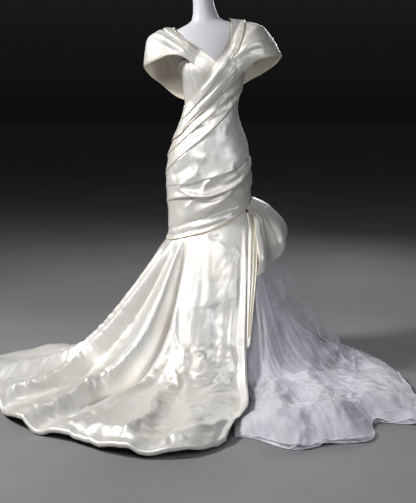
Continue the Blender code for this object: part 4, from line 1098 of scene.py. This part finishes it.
def make_form():
    angles = np.arange(FORM_COLUMNS) * 360 / FORM_COLUMNS
    low = np.linspace(BODY_LOW, BODY_HIGH, BODY_RINGS)
    high = np.linspace(SHOULDERS_LOW, NECK_TOP, SHOULDER_RINGS)
    rings = [figure(angles, height) for height in np.concatenate([low, high])]
    body = lathe("smooth_form_body", rings, form_paint)
    ride(body, "form_shell", "form_body")
    profile = list(CAP_RIM)
    rim_rise, rim_out = CAP_RIM[-1]
    for step in np.linspace(0.1, 1, CAP_RINGS):
        bend = step * math.pi / 2
        profile.append((rim_rise + CAP_DOME * math.sin(bend), rim_out - CAP_REACH * (1 - math.cos(bend))))
    rings = []
    for rise, out in profile:
        ring = figure(angles, NECK_TOP, out)
        ring[:, 2] = NECK_TOP + rise
        rings.append(ring)
    ride(lathe("smooth_neck_cap", rings, form_paint), "form_shell", "form_neck_cap")
    for node in ("stand_pole", "stand_base"):
        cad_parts[node].data.materials.clear()
        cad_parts[node].data.materials.append(steel)


# Bodice


def make_bodice():
    """Panels that meet in grooved seams, with faint crumples that never lift them through the drape."""
    down = np.linspace(0, 1, BODICE_ROWS)[:, None]
    for name, start, end, columns in BODICE_PANELS:
        angles = np.linspace(start + BODICE_GAP, end - BODICE_GAP, columns)
        top = ease(BODICE_TOP, 1, turn(angles))
        heights = top + (ease(BODICE_LOW, 1, turn(angles)) - top) * down
        edge = np.minimum(angles - start, end - angles)[None, :]
        seam = SEAM_DEPTH * np.exp(-((edge / SEAM_WIDTH) ** 2))
        wrinkles = BODICE_CRUMPLE * crumple(np.radians(angles)[None, :] * 9, heights * 14, 41)
        out = BODICE_ROOM + SATIN / 2 - seam + np.minimum(wrinkles, BODICE_CREST)
        satin_panel(name, figure(angles, heights, out))


# Drape round the torso and hips


def drape_point(angles, folds, angle, line):
    """Height and stand-out of the drape at an angle and at a place between fold lines. A fold swells down
    to its line. A pressed pleat then tucks back under its own edge, and a soft one falls away slowly."""
    spread = np.array(angles, float)
    thirds = np.array([angles[0], angles[3], angles[-1]], float)
    level = np.stack([ease(np.column_stack([spread, f[1]]), 1, angle) for f in folds])
    relief = np.stack([ease(np.column_stack([thirds, f[2]]), 1, angle) for f in folds])
    span = np.array([f[3] for f in folds])
    i = np.clip(np.floor(line + 1e-9).astype(int), 0, len(folds) - 2)
    t = np.clip(line - i, 0, 1)
    drop_span = span[i]
    pressed = drop_span < PRESSED_SPAN

    def take(stack, k):
        return np.take_along_axis(stack, k[None], axis=0)[0]

    height = take(level, i) * (1 - t) + take(level, i + 1) * t
    tuck = np.where(pressed, take(relief, i) * 0.75, 0.0)
    height = height + tuck * np.sin(math.pi * np.clip(t / drop_span, 0, 1))
    swell_from = np.where(span[i + 1] < PRESSED_SPAN, 0.35, 0.15)
    swell = take(relief, i + 1) * smooth(t, swell_from, 1.0) ** 1.3
    drop = take(relief, i) * (1 - smooth(t, 0.0, np.where(pressed, drop_span * 0.7, drop_span)))
    return height, swell + drop


def drape_lines(count):
    """Places of the mesh's rows, counted in fold lines from the top edge."""
    return np.concatenate([k + DRAPE_STEPS for k in range(count)] + [np.array([count])])


def drape_base(angle, height):
    """A point of the drape before it is folded."""
    return figure(angle, height, ease(DRAPE_EASE, 1, height))


def make_drape(name, angles, folds, columns, creases, seed):
    angle = np.linspace(angles[0] + DRAPE_GAP, angles[-1] - DRAPE_GAP, columns)[None, :]
    line = drape_lines(len(folds) - 1)[:, None]
    angle, line = np.broadcast_arrays(angle, line)
    height, relief = drape_point(angles, folds, angle, line)
    across = np.radians(angle) * BODY_RADIUS
    soft = DRAPE_WAVE * noise(across * 5 + 3, line * 1.3 + across * 4, seed)
    soft += DRAPE_CRUMPLE * crumple(across * 14, height * 9 + across * 6, seed + 5)
    soft += route_relief(drape_base(angle, height), creases, drape_base)
    edge = smooth(line, 0.2, 1.0) * (1 - 0.7 * smooth(line, len(folds) - 1.3, len(folds) - 1))
    out = ease(DRAPE_EASE, 1, height) + relief + SATIN / 2 + soft * edge
    middle = figure(angle, height, np.maximum(out, DRAPE_LEAST))
    satin_panel(name, middle)
    normals = outward_normals(middle)
    # Cords of painted shade along the hem and the pressed pleats
    lay_painted_shade_cord(name, middle[-1] + normals[-1] * HEM_CORD_OUT, HEM_CORD)
    for k in PLEATS_WITH_SHADE_CORD:
        row = k * len(DRAPE_STEPS)
        label = folds[k][0].replace(" ", "_")
        lay_painted_shade_cord(f"{name}_{label}", middle[row] + normals[row] * PLEAT_CORD_OUT, PLEAT_CORD)


# Portrait collars


def collar_grid(table, along, across):
    """Points of a collar: along it from end to end, and across it from the neck edge to the outer edge."""
    rows = np.column_stack([np.arange(len(table)), table])
    neck, fold, crown, outer = (
        np.stack([ease(rows, 1 + 3 * k + axis, along) for axis in range(3)], axis=-1) for k in range(4)
    )
    w = 3 * across[..., None]
    return (
        neck * (1 - w) * (2 - w) * (3 - w) / 6
        + fold * w * (2 - w) * (3 - w) / 2
        + crown * w * (w - 1) * (3 - w) / 2
        + outer * w * (w - 1) * (w - 2) / 6
    )


def collar_surface(table, along, across, layer, flats, creases, seed):
    """The collar's cloth, moved clear of the body: two swelled strips with a groove at the fold, waves and
    creases. layer is 1 for the collar that laps the other, and flats are the sections at each end that
    stay plain."""
    last = len(table) - 1
    middle = collar_grid(table, along, across)
    laid = route_relief(middle, creases, partial(collar_grid, table))
    normals = outward_normals(middle)
    strip = np.sin(math.pi * np.clip((across - 0.36) / 0.64, 0, 1)) * 0.7
    inner = smooth(across, 0.0, 0.28) * (1 - smooth(across, 0.330, 0.352))
    ends = smooth(along, flats[0], flats[0] + 1.5)
    ends = ends * (1 - smooth(along, last - flats[1] - 2, last - flats[1]))
    relief = COLLAR_RELIEF * (inner + strip) * ends
    relief += COLLAR_WAVE * noise(along * 0.55, across * 2.6, seed) * ends
    relief += (laid + COLLAR_CRUMPLE * crumple(along * 0.9, across * 3.2, seed + 7)) * ends
    middle = middle + normals * relief[..., None]
    height = middle[..., 2]
    room = np.maximum(relief, 0) * (1 - smooth(height, *SWELL_STOPS)) + COLLAR_RIGHT_ROOM
    room += layer * (ease(DRAPE_EASE, 1, height) - DRAPE_EASE[-1, 1] + SATIN + COLLAR_LAP)
    room -= layer * BAND_END_IN * (1 - smooth(along, 0.0, 0.6)) * smooth(height, *BAND_END_FROM)
    return clear_of_figure(middle, room + SATIN / 2)


def make_collar(name, table, layer, flats, sections, seed):
    along = np.linspace(0, len(table) - 1, sections)[:, None]
    along, across = np.broadcast_arrays(along, COLLAR_COLUMNS[None, :])
    middle = collar_surface(table, along, across, layer, flats, COLLAR_CREASES[name], seed)
    satin_panel(name, middle)
    normals = outward_normals(middle)
    # Cords of painted shade along the neck edge, the fold and the outer edge
    for label, column in (("neck", 0), ("fold", COLLAR_FOLD), ("outer", -1)):
        lay_painted_shade_cord(f"{name}_{label}", middle[:, column] + normals[:, column] * COLLAR_CORD_OUT, COLLAR_CORD)


# Skirts


def hem_height(angle):
    """Height of the drape's hem all round."""
    front = np.column_stack([FRONT_ANGLES, FRONT_FOLDS[-1][1]])
    back = np.column_stack([BACK_ANGLES, BACK_FOLDS[-1][1]])
    angle = turn(angle)
    behind = np.where(angle < 0, angle + 360, angle)
    return np.where(np.abs(angle) <= 90, ease(front, 1, angle), ease(back, 1, behind))


def skirt_grid(spread, seat, angle, down, moved=0.0, puff_scale=1.0, roll=0.0):
    """Points of a skirt: angle round it, and down it from the hip seam (0) to the hem (1). seat is how far
    out its top edge stands, moved takes it out of itself, and roll is the room that a rolled hem needs."""
    angle, down = np.broadcast_arrays(np.asarray(angle, float), np.asarray(down, float))
    top = hem_height(angle) + TUCK
    start = figure(angle, top, ease(DRAPE_EASE, 1, top) + seat)
    turned_to = np.radians(angle)
    way = np.stack([np.sin(turned_to), -np.cos(turned_to), np.zeros_like(turned_to)], axis=-1)
    start_reach = np.hypot(start[..., 0], start[..., 1])
    landing, hem, hollow, puff = (ease(spread, k, angle) for k in (1, 2, 3, 4))
    hem = hem - roll
    lean = start * (1, 1, 0) - way * start_reach[..., None]

    def base(down):
        """Reach and height of the plain fall."""
        reach = start_reach + (hem - start_reach) * down**SPREAD_POWER
        left = 1 - (reach - start_reach) / (landing - start_reach)
        fall = (left + np.sqrt(left * left + FALL_ROUND**2)) / (1 + math.sqrt(1 + FALL_ROUND**2))
        edge = np.sqrt(np.clip(1 - smooth(down, EDGE_FROM, 1.0) ** 2, 0, 1))
        height = top * fall**hollow + puff * puff_scale * smooth(down, PUFF_FROM, LIES_FROM) * edge
        return reach, height + FLOOR_GAP

    step = 0.002
    reach, height = base(down)
    reach_after, height_after = base(np.minimum(down + step, 1))
    reach_before, height_before = base(np.maximum(down - step, 0))
    run, fallen = reach_after - reach_before, height_before - height_after
    length = np.hypot(run, fallen)
    out_way = np.where(length > 0, fallen / length, 0) * (1 - smooth(down, LIES_FROM, EDGE_FROM))
    up_way = np.sqrt(1 - out_way**2)
    points = way * (reach + out_way * moved)[..., None] + lean * (1 - smooth(down, 0.0, 0.5))[..., None]
    points[..., 2] = np.maximum(height + up_way * moved, FLOOR_GAP + LEAST_LIFT)
    return points


def cloth_lengths(points):
    """Distances down the cloth from its top edge, in metres."""
    steps = np.linalg.norm(np.diff(points, axis=0), axis=-1)
    return np.concatenate([np.zeros((1, points.shape[1])), np.cumsum(steps, axis=0)])


def edge_angles(down, column):
    """The angles of one open edge of the skirts, by its column in their table."""
    return ease(SKIRT_EDGES, column, down)


def zone(angle, down, centre, wide, level, tall):
    """1 in the middle of a crumpled place, less away from it."""
    return np.exp(-(((angle - centre) / wide) ** 2) - ((down - level) / tall) ** 2)


def satin_relief(angle, down):
    """How far the satin skirt stands out: its folds, crumpled places and listed creases."""
    place = partial(skirt_grid, SATIN_SPREAD, SATIN_SEAT - SATIN / 2)
    base = place(angle, down)
    turned_to = np.radians(angle)
    around = turned_to * np.hypot(base[..., 0], base[..., 1])
    fallen = cloth_lengths(base)
    swayed = angle + FOLD_SWAY * noise(turned_to * 3.0, fallen * 2.6, 9) * smooth(down, 0.05, 0.3)
    shares = {
        "hanging": smooth(down, 0.02, 0.25),
        "crumpled": sum(strength * zone(angle, down, *spot) for strength, *spot in CRUMPLED),
        "lying": smooth(down, 0.45, 0.7),
    }
    moved = fold_height(satin_lines(), swayed, down)
    moved += shares["hanging"] * SKIRT_WAVE * noise(turned_to * 4.0, fallen * 1.3, 11)
    for spot, depth, pitch_round, pitch_down, seed in SKIRT_CRUMPLES:
        moved += shares[spot] * depth * crumple(around * pitch_round, fallen * pitch_down, seed)
    lines = line_levels(SATIN_LINES, down[:, 0])[0]
    for k in CREASED_RIDGES:
        ridge = np.exp(-(((swayed - lines[k][:, None]) / RIDGE_WIDTH) ** 2)) * smooth(down, 0.2, 0.4)
        moved += RIDGE_DEPTH * ridge * crumple(around * 14, fallen * 16, 23 + k)
    return moved + route_relief(base, SKIRT_CREASES, place)


def rolled_hem(middle):
    """The cloth turned under at its hem: a soft roll that meets the floor, or hangs open where it is high."""
    edge = middle[-1]
    way = (edge - middle[-5]) * (1, 1, 0)
    way /= np.linalg.norm(way, axis=-1, keepdims=True)
    radius = np.minimum((edge[:, 2] - FLOOR_GAP - SATIN_SHELL / 2) / 2, HEM_ROLL)[:, None]
    rows = [middle]
    for bend in np.linspace(0, HEM_TURN, HEM_ROWS + 1)[1:]:
        fallen = np.array((0, 0, 1 - math.cos(bend)))
        rows.append((edge + radius * (way * math.sin(bend) - fallen))[None])
    return np.concatenate(rows)


def fold_line(name, down):
    """The angle of a named fold line, or of the skirt's open back edge, at places down the skirt."""
    if name == "front edge":
        return edge_angles(down, 1)
    if name == "back edge":
        return edge_angles(down, 5) - 360
    line = next(line for line in satin_lines() if line[0] == name)
    return line_levels([line], down)[0][0]


def make_satin_skirt():
    for name, first, last, columns, rows in SATIN_PANELS:
        down = np.linspace(0, 1, rows)[:, None]
        front, back = fold_line(first, down), fold_line(last, down)
        angle = front + (back - front) * np.linspace(0, 1, columns)[None, :]
        down = np.broadcast_to(down, angle.shape)
        moved = satin_relief(angle, down)
        swell = 0.5 + 0.5 * noise(np.radians(angle) * 9, np.zeros_like(angle), 29)
        lift = smooth(down, 0.84, 0.97) * (HEM_LIFT + HEM_WAVE * swell)
        out = moved + lift
        middle = skirt_grid(SATIN_SPREAD, SATIN_SEAT - SATIN / 2, angle, down, out, HEM_PUFF, HEM_ROLL)
        satin_panel(name, rolled_hem(middle))


# Tulle


def billow(x, y, seed):
    """Round puffs with narrow valleys between them."""
    return 0.6 - 1.8 * np.abs(noise(x, y, seed))


def tulle_points(angle, down, inset, gathers, seed):
    """Points of one layer of net and how closely it is gathered at each. inset sets the layer inside the
    outermost one, and gathers is how deep it crimps."""
    base = skirt_grid(TULLE_SPREAD, TULLE_SEAT - NET / 2, angle, down)
    turned_to = np.radians(angle)
    around = turned_to * np.hypot(base[..., 0], base[..., 1])
    fallen = cloth_lengths(base)
    grown = smooth(down, 0.0, 0.30)
    bend = 0.05 * noise(turned_to * 4, fallen * 1.6, seed + 3)
    crimp = noise((turned_to + bend) * 26, fallen * 0.9, seed)
    fine = noise((turned_to + bend) * 64, fallen * 1.4, seed + 1)
    moved = fold_height(TULLE_LINES, angle, down) + gathers * grown * (0.7 * crimp + 0.3 * fine)
    low = smooth(down, 0.38, 0.60)
    bent = 0.4 * noise(around * 3.0, fallen * 3.0, seed + 4)
    puff = billow(around * 4.5 + bent, fallen * 5.0 + bent, seed + 2)
    small = billow(around * 11 + bent, fallen * 10, seed + 5)
    moved = moved + low * gathers * (NET_PUFF * puff + NET_SMALL_PUFF * small)
    inner = inset * smooth(angle, 40, 76) * smooth(down, 0.03, 0.25) * (1 - smooth(down, 0.50, 0.80))
    inner = inner + 0.12 * inset * grown
    cover = 0.5 + 0.45 * crimp + 0.22 * fine + low * (0.3 * puff + 0.15 * small)
    if inset < NET_THIN:
        hanging = smooth(down, 0.05, 0.16) * (1 - smooth(down, 0.52, 0.74))
        cover = cover - 0.9 * smooth(angle, 44, 64) * hanging
    tucked = smooth(angle - edge_angles(down, 1), -1.0, 7.0)
    out = moved * tucked - inner
    points = skirt_grid(TULLE_SPREAD, TULLE_SEAT - NET / 2, angle, down, out, 0.1 + 0.9 * tucked)
    return points, np.clip(cover, 0, 1)


def tulle_layer(name, start, end, size, inset, gathers, seed, finish):
    """One layer of net between two columns of the table of edges. Its cover is stored on its points."""
    down = np.linspace(0, 1, size[1])[:, None]
    share = np.linspace(0, 1, size[0])[None, :]
    first = edge_angles(down, start) - (NET_TUCK * smooth(down, 0.02, 0.3) if start == 2 else 0)
    angle = first * (1 - share) + edge_angles(down, end) * share
    down = np.broadcast_to(down, angle.shape)
    points, cover = tulle_points(angle, down, inset, gathers, seed)
    piece = single(name, points, finish)
    piece.data.attributes.new("cover", "FLOAT", "POINT").data.foreach_set("value", cover.ravel())
    return piece, points


def make_tulle():
    for node, start, end, columns, rows in NET_PANELS:
        for label, inset, gathers, seed, fine in NET_LAYERS:
            name, size = f"net_{node}_{label}", (int(columns * fine), int(rows * fine))
            finish = net_finishes[label]
            piece, points = tulle_layer(name, start, end, size, inset, gathers, seed, finish)
            replaced = (node,) if label == "outer" else ()
            ride(piece, "white_tulle", *replaced)
            net_thread(f"hem_{node}_{label}", points[-1] + (0, 0, NET_HEM_LIFT), NET_HEM)
    make_net_edges()


def make_net_edges():
    """Free edges of the upper layers: fine rolled threads that wander over the puffed net."""
    _, inset, gathers, seed, _ = NET_LAYERS[-1]
    for k, (width, *stops) in enumerate(NET_EDGES):
        table = stops_table(stops)
        fine = np.linspace(0, len(stops) - 1, NET_EDGE_STOPS)
        angle, down = ease(table, 1, fine), ease(table, 2, fine)
        angle = angle + NET_WANDER * noise(fine * 1.7, fine * 0, 90 + k)
        down = down + NET_WANDER_DOWN * NET_WANDER * noise(fine * 1.9, fine * 0 + 7, 90 + k)
        route = tulle_points(angle[:, None], down[:, None], inset, gathers, seed)[0][:, 0]
        route[:, 2] += NET_EDGE_LIFT
        net_thread(f"net_edge_{k + 1}", route, width / 1000)


# Hip fan and cascade


def fan_grid(share, down):
    """Points of the fan: share round it from its front edge to its back edge, and down it."""
    share, down = np.broadcast_arrays(np.asarray(share, float), np.asarray(down, float))
    front, back = ease(FAN_EDGES, 1, down), ease(FAN_EDGES, 2, down)
    angle = front + (back - front) * share
    lap = FAN_LAP * smooth(angle, 66, 84)
    top = hem_height(angle) + lap
    foot = ease(FAN_FLARE, 2, angle)
    pleat = FAN_PLEAT_DEPTH * np.sin(2 * math.pi * FAN_PLEATS * share) * smooth(down, 0.02, 0.6)
    flare = ease(FAN_FLARE, 1, angle) * ease(FAN_PROFILE, 1, down)
    waves = FAN_GATHERS * share + 0.4 * noise(share * 3, down, 83)
    gather = FAN_GATHER_DEPTH * np.abs(np.sin(math.pi * waves))
    wrinkle = gather * smooth(down, 0.0, 0.12) * (1 - 0.8 * down)
    wrinkle += FAN_WAVE * noise(share * 7, down * 1.4, 81) * smooth(down, 0.0, 0.3)
    out = ease(DRAPE_EASE, 1, top) + SATIN + FAN_ROOM + flare + pleat + wrinkle
    points = figure(angle, top, out)
    points[..., 2] = top + (foot - top) * down
    return points


def make_fan():
    middle = fan_grid(np.linspace(0, 1, FAN_COLUMNS)[None, :], np.linspace(0, 1, FAN_ROWS)[:, None])
    satin_panel("hip_fan", middle)
    # Cords of painted shade along the fan's front edge and its hem
    lay_painted_shade_cord("hip_fan_front", middle[:, 0], FAN_CORD)
    lay_painted_shade_cord("hip_fan_hem", middle[-1], FAN_CORD)


def cascade_grid(across, down):
    """Points of the cascade: across its pressed folds, and down it."""
    along = CASCADE_FROM + (CASCADE_TO - CASCADE_FROM) * down
    angle = edge_angles(along, 1) - CASCADE_INSIDE + ease(CASCADE, 1, down) * across
    along = np.broadcast_to(along, angle.shape)
    lap = (CASCADE_FOLDS * across) % 1
    wave = smooth(lap, 0.0, CASCADE_RISE) * (1 - smooth(lap, CASCADE_DROP, 1.0))
    fold = CASCADE_DEEP * ease(CASCADE, 2, down) * wave
    away = SATIN * 1.5 + CASCADE_ROOM + fold + CASCADE_LIFT * down**2
    away = away + fold_height(satin_lines(), angle, along)
    return skirt_grid(SATIN_SPREAD, SATIN_SEAT - SATIN, angle, along, away)


def make_cascade():
    across = np.linspace(0, 1, CASCADE_COLUMNS)[None, :]
    middle = cascade_grid(across, np.linspace(0, 1, CASCADE_ROWS)[:, None])
    satin_panel("hip_cascade", middle)
    # Cords of painted shade where each fold drops back
    for k in range(CASCADE_FOLDS):
        crest = middle[:-6, round((k + CASCADE_CREST) / CASCADE_FOLDS * (CASCADE_COLUMNS - 1))]
        lay_painted_shade_cord(f"hip_cascade_{k + 1}", crest - (0, CASCADE_CORD_OUT, 0), PLEAT_CORD)


# Studio


def make_lamp(name, place, target, size, power, colour):
    """A round soft lamp that shines from its place at a target."""
    data = bpy.data.lights.new(name, "AREA")
    data.shape = "DISK"
    data.size = size
    data.energy = power
    data.color = colour
    lamp = put_in_scene(name, data)
    lamp.location = place
    look = np.array(target) - np.array(place)
    spin = math.atan2(look[1], look[0]) - math.pi / 2
    tilt = math.acos(-look[2] / np.linalg.norm(look))
    lamp.rotation_euler = (tilt, 0, spin)


def make_floor():
    corners = 64
    turns = [2 * math.pi * k / corners for k in range(corners)]
    ring = [(FLOOR_REACH * math.sin(bearing), -FLOOR_REACH * math.cos(bearing), 0.0) for bearing in turns]
    mesh = bpy.data.meshes.new("studio_floor")
    mesh.from_pydata(ring, [], [tuple(range(corners))])
    mesh.materials.append(floor_material())
    floor = put_in_scene("studio_floor", mesh)
    floor.location = (0, 0, -FLOOR_BELOW)


def make_air():
    """The world: dark near the floor's edge and a little paler above."""
    world = bpy.data.worlds.new("studio_air")
    world.use_nodes = True
    tree = world.node_tree
    split = tree.nodes.new("ShaderNodeSeparateXYZ")
    sky = tree.nodes.new("ShaderNodeValToRGB")
    low, high = sky.color_ramp.elements
    low.color = (*AIR_LOW, 1)
    high.color = (*AIR_HIGH, 1)
    high.position = AIR_SPAN
    tree.links.new(tree.nodes.new("ShaderNodeTexCoord").outputs["Generated"], split.inputs[0])
    tree.links.new(split.outputs["Z"], sky.inputs[0])
    tree.links.new(sky.outputs[0], tree.nodes["Background"].inputs["Color"])
    bpy.context.scene.world = world


def make_studio():
    bpy.context.scene.view_settings.view_transform = "Standard"
    bpy.context.scene.view_settings.look = "High Contrast"
    make_floor()
    make_air()
    for lamp in LAMPS:
        make_lamp(*lamp)


def make_camera():
    data = bpy.data.cameras.new("camera")
    data.sensor_fit = "AUTO"
    data.sensor_width = SENSOR
    data.lens = FOCAL_LENGTH * SENSOR / PHOTO_HEIGHT
    camera = put_in_scene("camera", data)
    camera.location = (0, -CAMERA_AWAY, CAMERA_HEIGHT)
    camera.rotation_euler = (math.radians(90 - CAMERA_DOWN), 0, 0)
    bpy.context.scene.camera = camera


make_camera()
make_form()
make_bodice()
make_drape("drape_front", FRONT_ANGLES, FRONT_FOLDS, 170, FRONT_CREASES, 21)
make_drape("drape_back", BACK_ANGLES, BACK_FOLDS, 120, BACK_CREASES, 31)
make_collar("collar_left", COLLAR_LEFT, 1, (0.0, 0.0), 190, 51)
make_collar("collar_right", COLLAR_RIGHT, 0, (1.5, 1.5), 150, 55)
make_satin_skirt()
make_tulle()
make_fan()
make_cascade()
make_studio()
